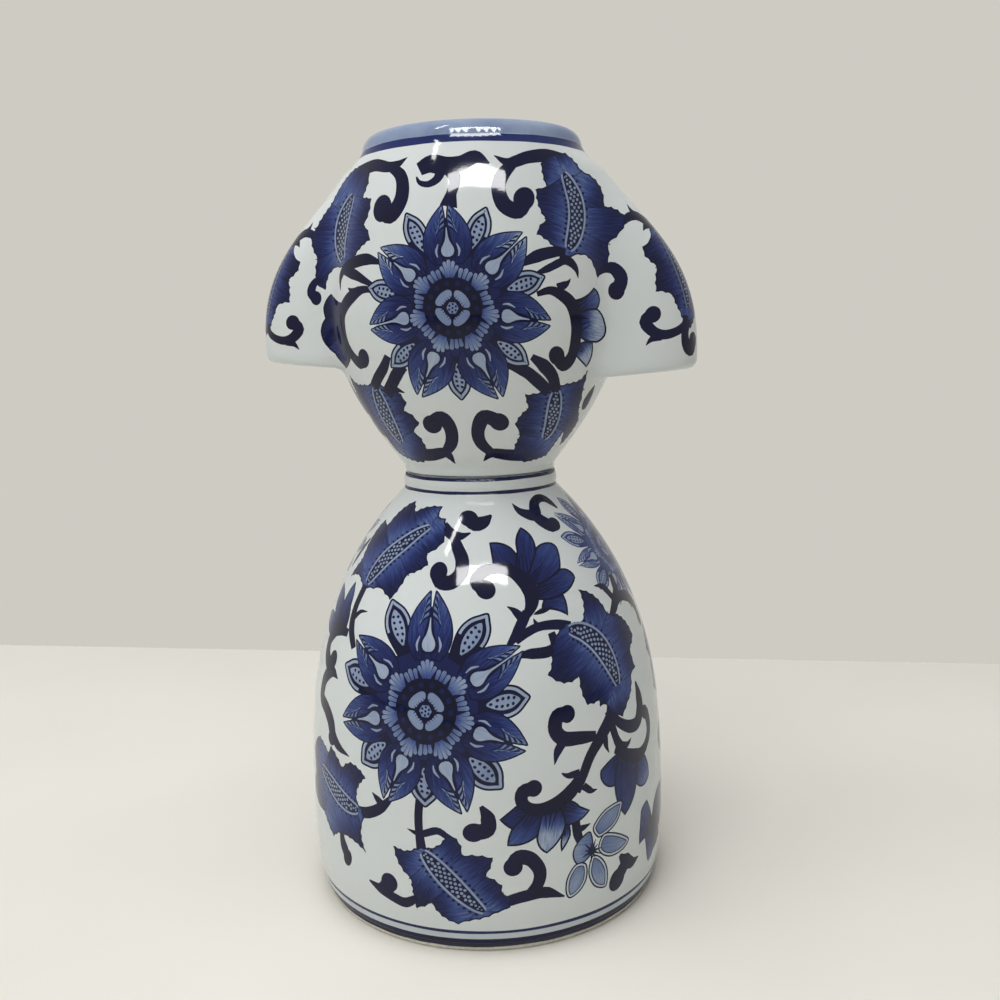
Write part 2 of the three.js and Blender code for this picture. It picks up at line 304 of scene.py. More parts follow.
def skirtSkin():
    form = skirtForm
    low, high = boxMm("skirt_shell")
    base, belly = low[2], high[0]
    tall = high[2] - base
    theta = np.linspace(-math.pi, math.pi, form["points"])

    def bell(z):
        drop = np.clip((form["bellyRise"] - z) / form["bellyRise"], 0, 1)
        rise = np.clip((z - form["bellyRise"]) / (tall - form["bellyRise"]), 0, 1)
        below = belly - form["tuck"] * drop ** form["tuckSharpness"]
        gain = (1 - rise ** form["bellySharpness"]) ** form["bellyFullness"]
        above = form["waistRadius"] + (belly - form["waistRadius"]) * gain
        return below if z < form["bellyRise"] else above

    # Points of the outline, from the inner edge of the foot up the outside and back down the inside
    edge = form["edgeRounding"]
    foot = bell(0)
    profile = [(foot - form["wall"], 0), (foot - 2 * edge, 0)]
    for a in np.linspace(0, math.pi / 2, form["edgeRows"]):
        profile.append((bell(edge) - edge * (1 - math.sin(a)), edge * (1 - math.cos(a))))
    for t in np.linspace(0, 1, form["tuckRows"] + 1)[1:]:
        z = lerp(edge, form["bellyRise"], t)
        profile.append((bell(z), z))
    for a in np.linspace(0, math.pi / 2, form["bellRows"] + 1)[1:-2]:
        z = lerp(form["bellyRise"], tall, math.sin(a))
        profile.append((bell(z), z))
    # Groove, bead and upper groove, as one soft line
    beadLow, beadHigh = tall + form["beadLow"], tall + form["beadHigh"]
    start = profile[-1]
    groove = form["waistRadius"] - form["grooveDepth"]
    for t in np.linspace(0, 1, form["grooveRows"] + 1)[1:]:
        r = quadCurve(start[0], groove - form["grooveSag"], groove, t)
        profile.append((r, lerp(start[1], beadLow, t ** form["grooveRise"])))
    for a in np.linspace(0, math.pi, form["beadRows"] + 1)[1:]:
        line = lerp(groove, form["upperGrooveRadius"] - form["upperGrooveSag"], a / math.pi)
        swell = (form["beadRadius"] - groove) * math.sin(a)
        profile.append((line + swell, lerp(beadLow, beadHigh, a / math.pi)))
    seat = beadHigh + form["seatRise"]
    throat = form["throatRadius"]
    inward, down = form["throatEdge"]
    profile += [(form["upperGrooveRadius"] - form["seatStep"], seat), (throat + inward, seat)]
    profile += [(throat, beadHigh - down), (throat, tall - form["throatDepth"])]
    for a in np.linspace(math.pi / 2, 0, form["insideRows"] + 1)[3:]:
        z = lerp(form["bellyRise"], tall, math.sin(a))
        profile.append((bell(z) - form["wall"], z))
    for t in np.linspace(1, 0, form["floorRows"] + 1)[1:]:
        z = lerp(0, form["bellyRise"], t)
        profile.append((bell(z) - form["wall"], z))
    radius = [r + 0 * theta for r, z in profile]
    height = [z + base + 0 * theta for r, z in profile]
    return Skin(radius, height, theta)


bodice = bodiceSkin()
skirt = skirtSkin()
print("skins shaped: bodice outline", round(bodice.v[-1]), "mm, skirt outline", round(skirt.v[-1]), "mm")


# Painting: flat outlines in millimetres, laid on a skin in order, with the last on top

noDab = {
    "q0": 0.0, "tone": 0.0, "tip": 0.0, "streak": 0.0,
    "root": np.zeros(2), "axis": np.array([1.0, 0.0]), "length": 1.0,
}


class Place:
    def __init__(self, q0, middle, axes):
        self.q0 = q0
        self.middle = np.array(middle, float)
        self.axes = axes

    def lay(self, points):
        return np.asarray(points, float) @ self.axes.T + self.middle

    def inside(self, x, y, turn=0.0, size=1.0):
        c, s = polar(1, turn)
        return Place(self.q0, self.lay([(x, y)])[0], self.axes @ np.array([[c, -s], [s, c]]) * size)


class Painting:
    def __init__(self, skin, inDegrees):
        self.skin = skin
        self.inDegrees = inDegrees
        self.turn = 0.0
        self.flip = 1
        self.lift = 0.0
        self.ease = ((0.0,), (0.0,))  # heights, and the millimetres added there
        self.dabs = []

    # Places are read as (mm or degrees from the front, mm up),
    # and turned to the part of the vase being painted.
    def spots(self, points):
        points = np.asarray(points, float)
        v = points[:, 1] + self.lift + np.interp(points[:, 1], *self.ease)
        q = np.radians(points[:, 0]) if self.inDegrees else points[:, 0] / self.skin.ringRadius(v)
        return q * self.flip + math.radians(self.turn), v

    def settle(self, points):
        q, _ = self.spots(points)
        place = Place(q.mean() if self.inDegrees else math.radians(self.turn), (0, 0), np.eye(2))
        return place, self.local(place, points)

    def local(self, place, points):
        q, v = self.spots(points)
        return np.stack([(q - place.q0) * self.skin.ringRadius(v), v], 1)

    def dab(self, place, outline, tone, tip=None, streak=0.0, root=(0, 0), along=0.0, length=1.0):
        points = place.lay(outline)
        if signedArea(points) < 0:
            points = points[::-1]
        middle = place.lay([root])[0]
        axis = place.axes @ polar(1, along)
        size = np.linalg.norm(axis)
        self.dabs.append({
            "points": self.dense(points), "q0": place.q0,
            "tone": tone, "tip": tone if tip is None else tip, "streak": streak,
            "root": middle, "axis": axis / size, "length": max(length * size, 1e-3),
        })

    # Long edges are cut so that they follow the curve of the porcelain.
    def dense(self, points, longest=1.6):
        out = []
        for a, b in zip(points, np.roll(points, -1, 0)):
            count = max(1, math.ceil(np.linalg.norm(b - a) / longest))
            out.extend(lerp(a, b, k / count) for k in range(count))
        return np.array(out)

    # A band right round the vase, with the slight waver of a brush held to a turning wheel
    def band(self, low, high, tone, waver, seed):
        q = np.linspace(-math.pi, math.pi, 181)
        drift = np.sin(3 * q + seed) + 0.6 * np.sin(7 * q + 2.1 * seed) + 0.4 * np.sin(16 * q + 5 * seed)
        drift2 = np.sin(4 * q + 1.7 + seed) + 0.6 * np.sin(9 * q + seed) + 0.4 * np.sin(13 * q + 3 * seed)
        lowEdge = np.stack([q, low + waver * drift / 2], 1)
        highEdge = np.stack([q, high + waver * drift2 / 2], 1)
        ring = np.concatenate([lowEdge, highEdge[::-1]])
        ring[:, 0] *= self.skin.ringRadius(ring[:, 1])
        self.dabs.append({**noDab, "points": ring, "tone": tone, "tip": tone})


def nearestOf(others, these, run):
    others = others[np.argsort(run[others])]
    spot = np.clip(np.searchsorted(run[others], run[these]), 1, len(others) - 1)
    nearer = np.abs(run[others[spot - 1]] - run[these]) < np.abs(run[others[spot]] - run[these])
    return others[np.where(nearer, spot - 1, spot)]


def windsRound(ring, spots):
    x, y = ring.T
    dx, dy = np.roll(x, -1) - x, np.roll(y, -1) - y
    above = y[None] <= spots[:, 1:]
    aboveNext = np.roll(above, -1, 1)
    side = dx[None] * (spots[:, 1:] - y[None]) - (spots[:, :1] - x[None]) * dy[None]
    winding = np.sum((above & ~aboveNext & (side > 0)), 1) - np.sum((~above & aboveNext & (side < 0)), 1)
    return winding != 0


# The skin as one closed mesh that is cut along the painted outlines.
# Each corner keeps the strength of its ink and its place in its brush stroke.

def paintedMesh(name, painting, outerEnd, columnStep=2.2, rowStep=2.4, closestRows=0.12, outerShare=0.93):
    skin = painting.skin
    ref = float(np.median(skin.even))
    top = float(skin.v[-1])
    columns = 2 * round(math.pi * ref / columnStep)
    q = np.linspace(-math.pi, math.pi, columns + 1)
    # Rows of the mesh, and the edge of the flat sheet
    levels = [0.0]
    for v in skin.v[1:]:
        gap = v - levels[-1]
        if gap > closestRows or v == top:
            count = max(1, math.ceil(gap / rowStep))
            levels.extend(levels[-1] + gap * (k + 1) / count for k in range(count))
    levels[-1] = top
    verts = [(x, 0.0) for x in q] + [(math.pi, v) for v in levels[1:-1]]
    verts += [(x, top) for x in q[::-1]] + [(-math.pi, v) for v in levels[-2:0:-1]]
    verts = [(x * ref, v) for x, v in verts]
    faces = [list(range(len(verts)))]
    # Each stroke is laid on the sheet, and once more where it crosses the sheet's edge.
    owner, shift = [], []
    for i, one in enumerate(painting.dabs):
        points = one["points"]
        turn = one["q0"] + points[:, 0] / skin.ringRadius(points[:, 1])
        for lap in (-1, 0, 1):
            moved = turn + lap * 2 * math.pi
            if moved.max() <= -math.pi or moved.min() >= math.pi:
                continue
            start = len(verts)
            verts.extend(zip(moved * ref, points[:, 1]))
            faces.append(list(range(start, len(verts))))
            owner.append(i)
            shift.append(lap * 2 * math.pi)
    # Columns are staggered only where the rows stand well apart, so that lip, bead and hems stay smooth.
    half = math.pi / columns
    for k, v in enumerate(levels[1:-1]):
        apart = min(v - levels[k], levels[k + 2] - v)
        offset = half if k % 2 and apart > rowStep / 2 else 0.0
        verts.extend(((x + offset) * ref, v) for x in q[1:-1] if x + offset < math.pi - half / 2)
    flat, _, triangles, _, _, _ = delaunay_2d_cdt([Vector(p) for p in verts], [], faces, 0, 1e-5, True)
    flat = np.array([(p.x, p.y) for p in flat])
    triangles = np.array([t for t in triangles])
    centre = flat[triangles].mean(1)
    inside = (np.abs(centre[:, 0]) < math.pi * ref) & (centre[:, 1] > 0) & (centre[:, 1] < top)
    triangles, centre = triangles[inside], centre[inside]
    # Which stroke lies on top of each triangle
    highest = np.full(len(triangles), -1)
    order = np.argsort(centre[:, 1])
    rising = centre[order, 1]
    sheet = np.array(verts)
    for i, face in enumerate(faces[1:]):
        ring = sheet[face]
        low, high = np.searchsorted(rising, [ring[:, 1].min(), ring[:, 1].max()])
        near = order[low:high]
        x = centre[near, 0]
        near = near[(x > ring[:, 0].min()) & (x < ring[:, 0].max())]
        highest[near[windsRound(ring, centre[near])]] = i

    # Rolled up, with the edges of the sheet joined
    turn = np.clip(flat[:, 0] / ref, -math.pi, math.pi)
    height = np.clip(flat[:, 1], 0, top)
    spots, normals = skin.at(turn, height)
    same = np.arange(len(flat))
    for edge, other, run in ((turn > math.pi - 1e-5, turn < -math.pi + 1e-5, height),
                             (height > top - 1e-4, height < 1e-4, turn)):
        edge, other = np.nonzero(edge)[0], np.nonzero(other)[0]
        weld = np.arange(len(flat))
        weld[edge] = nearestOf(other, edge, run)
        weld[other] = nearestOf(np.unique(weld[edge]), other, run)
        same = weld[same]
    joined = same[triangles]
    a, b, c = joined.T
    whole = (a != b) & (b != c) & (c != a)
    triangles, highest = triangles[whole], highest[whole]
    first, joined = np.unique(joined[whole], return_inverse=True)
    joined = joined.reshape(-1, 3)

    mesh = bpy.data.meshes.new(name)
    mesh.from_pydata((spots[first] * mm).tolist(), [], joined.tolist())
    mesh.shade_smooth()

    # Ink and brush place at each corner
    stack = [painting.dabs[k] for k in owner] + [noDab]
    table = {key: np.array([one[key] for one in stack]) for key in noDab}
    table["q0"] = table["q0"] + np.array(shift + [0.0])
    index = np.repeat(highest, 3)
    corner = triangles.reshape(-1)
    v = height[corner]
    side = (turn[corner] - table["q0"][index]) * skin.ringRadius(v)
    away = np.stack([side, v], 1) - table["root"][index]
    axis = table["axis"][index]
    along = away[:, 0] * axis[:, 0] + away[:, 1] * axis[:, 1]
    across = away[:, 1] * axis[:, 0] - away[:, 0] * axis[:, 1]
    share = np.clip(along / table["length"][index], 0, 1)
    tone = lerp(table["tone"][index], table["tip"][index], share)
    ink = np.stack([tone, table["streak"][index], 0 * tone], 1)
    brush = np.stack([along, across, (index % 97) * 1.7], 1)
    for label, values in (("ink", ink), ("brush", brush)):
        layer = mesh.attributes.new(label, "FLOAT_VECTOR", "CORNER")
        layer.data.foreach_set("vector", values.astype(np.float32).ravel())
    outer = np.interp(v, [0, outerEnd, top], [0.0, outerShare, 1.0])
    uv = np.stack([turn[corner] / (2 * math.pi) + 0.5, outer], 1)
    layer = mesh.uv_layers.new(name="OFBake")
    layer.data.foreach_set("uv", uv.astype(np.float32).ravel())
    mesh.normals_split_custom_set_from_vertices(normals[first].tolist())
    print(name, "triangles:", len(joined), "strokes:", len(painting.dabs))
    return addObject(name, mesh)


# Brush work: paths and outlines shared by the motifs

def curvePath(points, step=0.9, closed=False):
    points = np.asarray(points, float)
    if closed:
        ends = np.concatenate([points[-1:], points, points[:2]])
    else:
        ends = np.concatenate([[2 * points[0] - points[1]], points, [2 * points[-1] - points[-2]]])
    out = [points[0]]
    for k in range(1, len(ends) - 2):
        p0, p1, p2, p3 = ends[k - 1:k + 3]
        count = max(2, math.ceil(np.linalg.norm(p2 - p1) / step))
        for t in np.arange(1, count + 1) / count:
            bend = (2 * p0 - 5 * p1 + 4 * p2 - p3) * t * t + (3 * p1 - p0 - 3 * p2 + p3) * t ** 3
            out.append(p1 + 0.5 * ((p2 - p0) * t + bend))
    return np.array(out[:-1] if closed else out)


def alongPath(path):
    run = runAlong(path)
    return run / run[-1]


def sideways(path):
    return leftOf(np.gradient(path, axis=0))


def wrap(points):
    points = sorted(map(tuple, points))
    hull = []
    for line in (points, points[::-1]):
        side = []
        for p in line:
            while len(side) > 1:
                (ax, ay), (bx, by) = side[-2:]
                if (bx - ax) * (p[1] - ay) - (by - ay) * (p[0] - ax) > 0:
                    break
                side.pop()
            side.append(p)
        hull.extend(side[:-1])
    return hull


def inset(outline, depth):
    outline = np.asarray(outline, float)
    left = leftOf(np.roll(outline, -1, 0) - np.roll(outline, 1, 0))
    return outline + left * (depth if signedArea(outline) > 0 else -depth)


def oval(x, y, r, long=1.0, turn=0.0, count=14):
    a = np.linspace(0, 2 * math.pi, count + 1)[:-1]
    c, s = polar(1, turn)
    u, w = r * long * np.cos(a), r * np.sin(a)
    return np.stack([x + c * u - s * w, y + s * u + c * w], 1)


brushForm = {"swell": 1.08, "bulbNeck": 0.85, "streak": 0.25, "run": 60}


# A brush stroke of changing width, cut into short lengths so that tight curls stay clean
def stroke(coat, place, path, halfWidth, tone, streak=brushForm["streak"]):
    side = sideways(path)
    spread = np.interp(alongPath(path), np.linspace(0, 1, len(halfWidth)), halfWidth)[:, None]
    left, right = path + side * spread, path - side * spread
    for k in range(len(path) - 1):
        way = path[k + 1] - path[k]
        chunk = wrap([left[k], left[k + 1], right[k + 1], right[k]])
        turn = math.degrees(math.atan2(way[1], way[0]))
        if len(chunk) > 2:
            coat.dab(place, chunk, tone, streak=streak, root=path[0], along=turn, length=brushForm["run"])


# A stem or curl; its bulb, if it has one, is a place with a radius, a length and a turn
def tendril(coat, points, halfWidth, bulb=None, tone=0.95):
    form = brushForm
    place, local = coat.settle(points)
    widths = [form["swell"] * w for w in halfWidth]
    if bulb:
        x, y, spread, *shape = bulb
        spot = coat.local(place, [(x, y)])[0]
        local = np.concatenate([local, [spot]])
        widths.append(spread * form["bulbNeck"])
        drop = oval(*spot, spread, *shape, count=20)
        coat.dab(place, drop, tone, streak=form["streak"], length=form["run"])
    stroke(coat, place, curvePath(local), widths, tone)


# An outline through corners, each with the outward bow of the edge that ends at it.
# A ripple gives the edges small teeth; the notches are the corners where the outline turns inward.
def bowed(coat, place, corners, bow=0.08, ripple=0.0, toothEvery=2.4, pointEvery=1.2):
    spots = coat.local(place, [c[:2] for c in corners])
    outward = 1 if signedArea(spots) > 0 else -1
    edge, ends, ways = [], [], []
    for a, b, corner in zip(np.roll(spots, 1, 0), spots, corners):
        way = b - a
        length = np.linalg.norm(way)
        out = np.array([way[1], -way[0]]) * outward
        bend = corner[2] if len(corner) > 2 else bow
        control = (a + b) / 2 + out * bend * 2
        waves = max(1, round(length / toothEvery))
        count = 5 * waves if ripple else max(2, math.ceil(length / pointEvery))
        for t in np.arange(1, count + 1) / count:
            tooth = ripple * (1 - abs(math.sin(math.pi * waves * t)))
            edge.append(quadCurve(a, control, b, t) + out / length * tooth)
        ends.append(len(edge) - 1)
        ways.append(((control - a) / length, (b - control) / length))
    notches = []
    for k, (_, come) in enumerate(ways):
        go = ways[(k + 1) % len(ways)][0]
        if (come[0] * go[1] - come[1] * go[0]) * outward < -0.02:
            notches.append(ends[k])
    return np.array(edge), notches


def farthest(spots, root):
    way = spots[np.argmax(np.linalg.norm(spots - root, axis=1))] - root
    return math.degrees(math.atan2(way[1], way[0])), np.linalg.norm(way)


# A leaf of dark pointed lobes, with a lens of pale beads down the middle
# and a pale rail along each side of it
leafForm = {
    "line": 0.97, "outline": 0.42, "ripple": 0.38,
    "inner": 0.5, "edge": 0.86, "streak": 0.9, "shadeShare": 0.6,
    "vein": (0.15, 0.05), "veinTone": 0.95, "veinRun": (-0.1, 0.2, 0.45, 0.7),
    "half": 2.3, "lensTone": 0.93, "rail": 0.65, "railTone": 0.25,
    "dot": 0.42, "dotEvery": 1.7, "dotOff": 0.5, "dotTone": 0.93,
    "bead": 0.42, "beadEvery": 1.0, "beadShare": 0.26, "beadTone": 0.26,
    "broadLens": 1.9, "broadRows": ((-0.66, 0.0, 0.66), (-0.33, 0.33)),
    "narrowRows": ((-0.35, 0.35), (0.0,)),
}


def leaf(coat, lens, corners, **changes):
    form = {**leafForm, **changes}
    place, local = coat.settle(lens)
    path = curvePath(local, 0.7)
    run, side = runAlong(path), sideways(path)
    length = run[-1]
    share = run / length

    def at(t, off=0.0):
        spot = np.array([np.interp(t, share, path[:, k]) for k in (0, 1)])
        out = np.array([np.interp(t, share, side[:, k]) for k in (0, 1)])
        return spot + out * off

    edge, notches = bowed(coat, place, corners, ripple=form["ripple"])
    coat.dab(place, edge, form["line"])
    fill = inset(edge, form["outline"])
    for a, b in zip(notches, notches[1:] + notches[:1]):
        lobe = fill[a:b + 1] if a < b else np.concatenate([fill[a:], fill[:b + 1]])
        near = [np.argmin(np.linalg.norm(path - spot, axis=1)) for spot in (lobe[-1], lobe[0])]
        root = path[sum(near) // 2]
        turn, far = farthest(lobe, root)
        start = root + polar(form["half"] + form["rail"], turn)
        whole = np.concatenate([lobe, path[near]])
        shade = (far - form["half"]) * form["shadeShare"]
        coat.dab(place, whole, form["inner"], form["edge"], form["streak"], start, turn, shade)
    for k in notches:
        root = path[np.argmin(np.linalg.norm(path - fill[k], axis=1))]
        vein = np.array([lerp(fill[k], root, t) for t in form["veinRun"]])
        stroke(coat, place, vein, form["vein"], form["veinTone"])
    # Rails and lens
    steps = np.linspace(0, 1, max(10, int(length)))
    swell = np.sin(np.pi * np.linspace(0.015, 0.985, len(steps)) ** 0.85) ** 0.55
    half = swell * form["half"]
    for grow, tone in ((form["rail"], form["railTone"]), (0.0, form["lensTone"])):
        rim = [at(t, s + grow) for t, s in zip(steps, half)]
        rim += [at(t, -s - grow) for t, s in zip(steps[::-1], half[::-1])]
        coat.dab(place, rim, tone)
    for t in np.arange(1.2, length - 0.6, form["dotEvery"]) / length:
        off = np.interp(t, steps, half) + form["rail"] + form["dotOff"]
        for spot in (at(t, off), at(t, -off)):
            if windsRound(fill, spot[None])[0]:
                coat.dab(place, oval(*spot, form["dot"], 1.2, 0, 8), form["dotTone"])
    for k, t in enumerate(np.arange(0.9, length - 0.5, form["beadEvery"]) / length):
        wide = np.interp(t, steps, half)
        rows = form["narrowRows"] if wide < form["broadLens"] else form["broadRows"]
        size = min(form["bead"], form["beadShare"] * wide)
        for off in rows[k % 2]:
            coat.dab(place, oval(*at(t, off * wide), size, 1.1, 0, 8), form["beadTone"])


# A half-open flower seen from the side: petals on a dark arc that ends in a bulb
halfFlowerForm = {
    "line": 0.97, "outline": 0.55, "inner": 0.88, "streak": 0.75,
    "paleTip": 0.4, "paleShare": 0.55, "shadeShare": 0.85,
    "veins": (0.2, 0.5, 0.8), "vein": (0.3, 0.06), "veinRun": (0, 0.3, 0.6), "veinTip": 0.4, "stem": 0.96,
}


def halfFlower(coat, arc, petals, halfWidth, bulb=None):
    form = halfFlowerForm
    place, _ = coat.settle(arc)
    for tipTone, *corners in petals:
        edge, _ = bowed(coat, place, corners)
        ends = coat.local(place, [corners[0][:2], corners[-1][:2]])
        root = ends.mean(0)
        turn, far = farthest(edge, root)
        coat.dab(place, edge, form["line"])
        shade = far * (form["paleShare"] if tipTone < form["paleTip"] else form["shadeShare"])
        fill = inset(edge, form["outline"])
        coat.dab(place, fill, form["inner"], tipTone, form["streak"], root, turn, shade)
        tip = lerp(edge[len(edge) // 2], edge.mean(0), form["veinTip"])
        for t in form["veins"]:
            start = lerp(ends[0], ends[1], t)
            line = np.array([lerp(start, tip, s) for s in form["veinRun"]])
            stroke(coat, place, line, form["vein"], form["stem"])
    tendril(coat, arc, halfWidth, bulb, form["stem"])


# A small open flower of pale petals, most of them with a white border inside the dark line
paleFlowerForm = {
    "swell": 1.08, "line": 0.95, "border": (0.45, 0.1), "innerLine": (0.95, 0.93),
    "plainFill": 0.45, "borderedFill": 1.25, "fill": (0.46, 0.27), "streak": 0.5, "shadeShare": 0.7,
    "rays": 11, "rayTurn": 33, "rayReach": (3.3, 2.4), "ray": (0.5, 0.3, 0.1),
    "heart": 1.05, "heartTone": 0.96,
}


def paleFlower(coat, centre, petals):
    form = paleFlowerForm
    place, local = coat.settle([centre, centre])
    middle = local[0]
    for bordered, *outline in petals:
        edge = middle + (curvePath(coat.local(place, outline), 0.7, True) - middle) * form["swell"]
        turn, far = farthest(edge, middle)
        coat.dab(place, edge, form["line"])
        if bordered:
            for depth, tone in (form["border"], form["innerLine"]):
                coat.dab(place, inset(edge, depth), tone)
        fill = inset(edge, form["borderedFill"] if bordered else form["plainFill"])
        coat.dab(place, fill, *form["fill"], form["streak"], middle, turn, far * form["shadeShare"])
    for k in range(form["rays"]):
        reach = polar(form["rayReach"][k % 2], form["rayTurn"] * k)
        line = np.array([middle, middle + reach / 2, middle + reach])
        stroke(coat, place, line, form["ray"], form["heartTone"])
    coat.dab(place, oval(*middle, form["heart"], 1.0, 0, 12), form["heartTone"])


# The great flower: sizes are shares of its radius, and tones are strengths of ink
flowerForm = {
    "heart": 0.06, "rosette": (0.08, 0.175), "frill": (0.288, 0.4), "fans": 7, "disc": 0.56,
    "dotRing": 0.235, "ringDot": 0.026, "ringDots": 14, "kiteDot": 0.0145,
    "line": 0.019, "border": 0.026, "featherLine": 0.013,
    "feather": ((0.4, 0.14), (0.47, 0.21), (0.55, 0.25), (0.64, 0.258), (0.74, 0.236), (0.84, 0.182),
                (0.93, 0.108), (1.0, 0.03)),
    "featherInner": ((0.95, 0.014), (0.87, 0.005), (0.7, 0.008), (0.55, 0.016), (0.42, 0.03)),
    "kite": ((0.5, 0.07), (0.6, 0.095), (0.7, 0.118), (0.79, 0.122), (0.88, 0.098), (0.95, 0.05)),
    "field": ((0.58, 0.008), (0.65, 0.038), (0.72, 0.054), (0.8, 0.052), (0.86, 0.03)),
    "spoon": ((0.485, 0.02), (0.5, 0.048), (0.535, 0.063), (0.575, 0.056), (0.625, 0.028), (0.68, 0.012),
              (0.76, 0.007), (0.9, 0.0045)),
    "shortSpoonEnd": (0.76, 0.004), "spoonArc": ((0.485, 0.102), (0.54, 0.114), (0.61, 0.09)),
    "comb": (0.8, 0.965, 4), "combDepth": (0.085, 0.026), "combGap": 0.026,
}
flowerTones = {
    "dark": 0.95, "disc": 0.82, "feather": 0.84, "tip": 0.4, "tooth": 0.75, "toothGap": 0.93,
    "border": 0.2, "field": 0.25, "kiteDot": 0.92, "spoon": (0.22, 0.16), "arc": 0.24,
    "strip": (0.46, 0.3), "fan": (0.52, 0.28), "eye": 0.985, "ringDot": 0.85,
    "rosette": 0.3, "heart": 0.33,
}


def bothSides(side, tip=None, far=1.0):
    upper = [(x * far, y) for x, y in side]
    return upper + ([(tip * far, 0)] if tip else []) + [(x, -y) for x, y in upper[::-1]]


# A short stroke that widens to a round end
def finger(a, b, thin, thick):
    way = (b - a) / np.linalg.norm(b - a)
    side = np.array([-way[1], way[0]])
    back = b - way * thick
    tip = [back + (side * math.cos(t) + way * math.sin(t)) * thick for t in np.linspace(0, math.pi, 6)]
    return [a + side * thin] + tip + [a - side * thin]


def kitePetal(coat, here, far, broad, dark):
    form, tones = flowerForm, flowerTones
    edge = curvePath(bothSides([(x, y * broad) for x, y in form["kite"]], 1.0, far), 0.03)
    coat.dab(here, edge, dark)
    rim = inset(edge, form["line"])
    coat.dab(here, rim[rim[:, 0] > 0.72 * far], tones["border"])
    coat.dab(here, inset(edge, form["line"] + form["border"]), dark)
    field = bothSides([(x, y * broad) for x, y in form["field"]], 0.9, far)
    coat.dab(here, curvePath(field, 0.03), tones["field"])
    for row, x in enumerate(np.arange(0.62, 0.87, 0.052)):
        wide = np.interp(x, [p[0] for p in form["field"]], [p[1] for p in form["field"]])
        for y in ((-0.5, 0.5) if wide > 0.034 else (0.0,)):
            shift = 0.012 if y > 0 else 0.0
            dot = oval((x + shift) * far, y * wide * broad, form["kiteDot"], 1.2, 20 * row, 7)
            coat.dab(here, dot, tones["kiteDot"])


# Two feathered halves with a pale spoon between them
def featherPair(coat, here, far, broad, tip, handle, fade):
    form, tones = flowerForm, flowerTones
    dark = tones["dark"] * fade
    outer = [(x, y * broad) for x, y in form["feather"]]
    start, end, count = form["comb"]
    for sign in (1, -1):
        edge = curvePath([(x * far, y * sign) for x, y in (*outer, *form["featherInner"])], 0.03)
        coat.dab(here, edge, dark)
        coat.dab(here, inset(edge, form["featherLine"]), tones["feather"] * fade, tip, 0.95,
                 (0.52, 0.1 * sign), 10 * sign, 0.44 * far)
        # Pale teeth like a comb along the inner edge near the tip, with dark gaps between
        strokes = (0.0, tip * tones["tooth"], 0.009), (form["combGap"], tones["toothGap"] * fade, 0.008)
        for j, x in enumerate(np.linspace(start, end, count)):
            y = np.interp(x, [0.7, 0.87, 0.94, 1.0], [0.02, 0.02, 0.028, 0.045])
            deep = lerp(*form["combDepth"], j / (count - 1))
            for back, tone, thick in strokes:
                tooth = [(x - back, y), (x - back - 0.035, y + deep * 0.62), (x - back - 0.09, y + deep)]
                stroke(coat, here, np.array(tooth) * [far, sign], (thick, thick * 0.9, 0.002), tone, 0)
    shade = [(x - 0.02 if x < 0.53 else x, y + 0.024) for x, y in form["spoon"][:5]] + [(0.84, 0.01)]
    coat.dab(here, curvePath(bothSides(shade, far=far), 0.03), dark)
    spoon = form["spoon"] if handle else form["spoon"][:6] + (form["shortSpoonEnd"],)
    coat.dab(here, curvePath(bothSides(spoon, far=far), 0.03), *tones["spoon"], 0.25, (0.48, 0), 0, 0.4)
    for sign in (1, -1):
        arc = np.array(form["spoonArc"]) * [far, sign]
        stroke(coat, here, curvePath(arc, 0.03), (0.005, 0.012, 0.004), tones["arc"], 0)


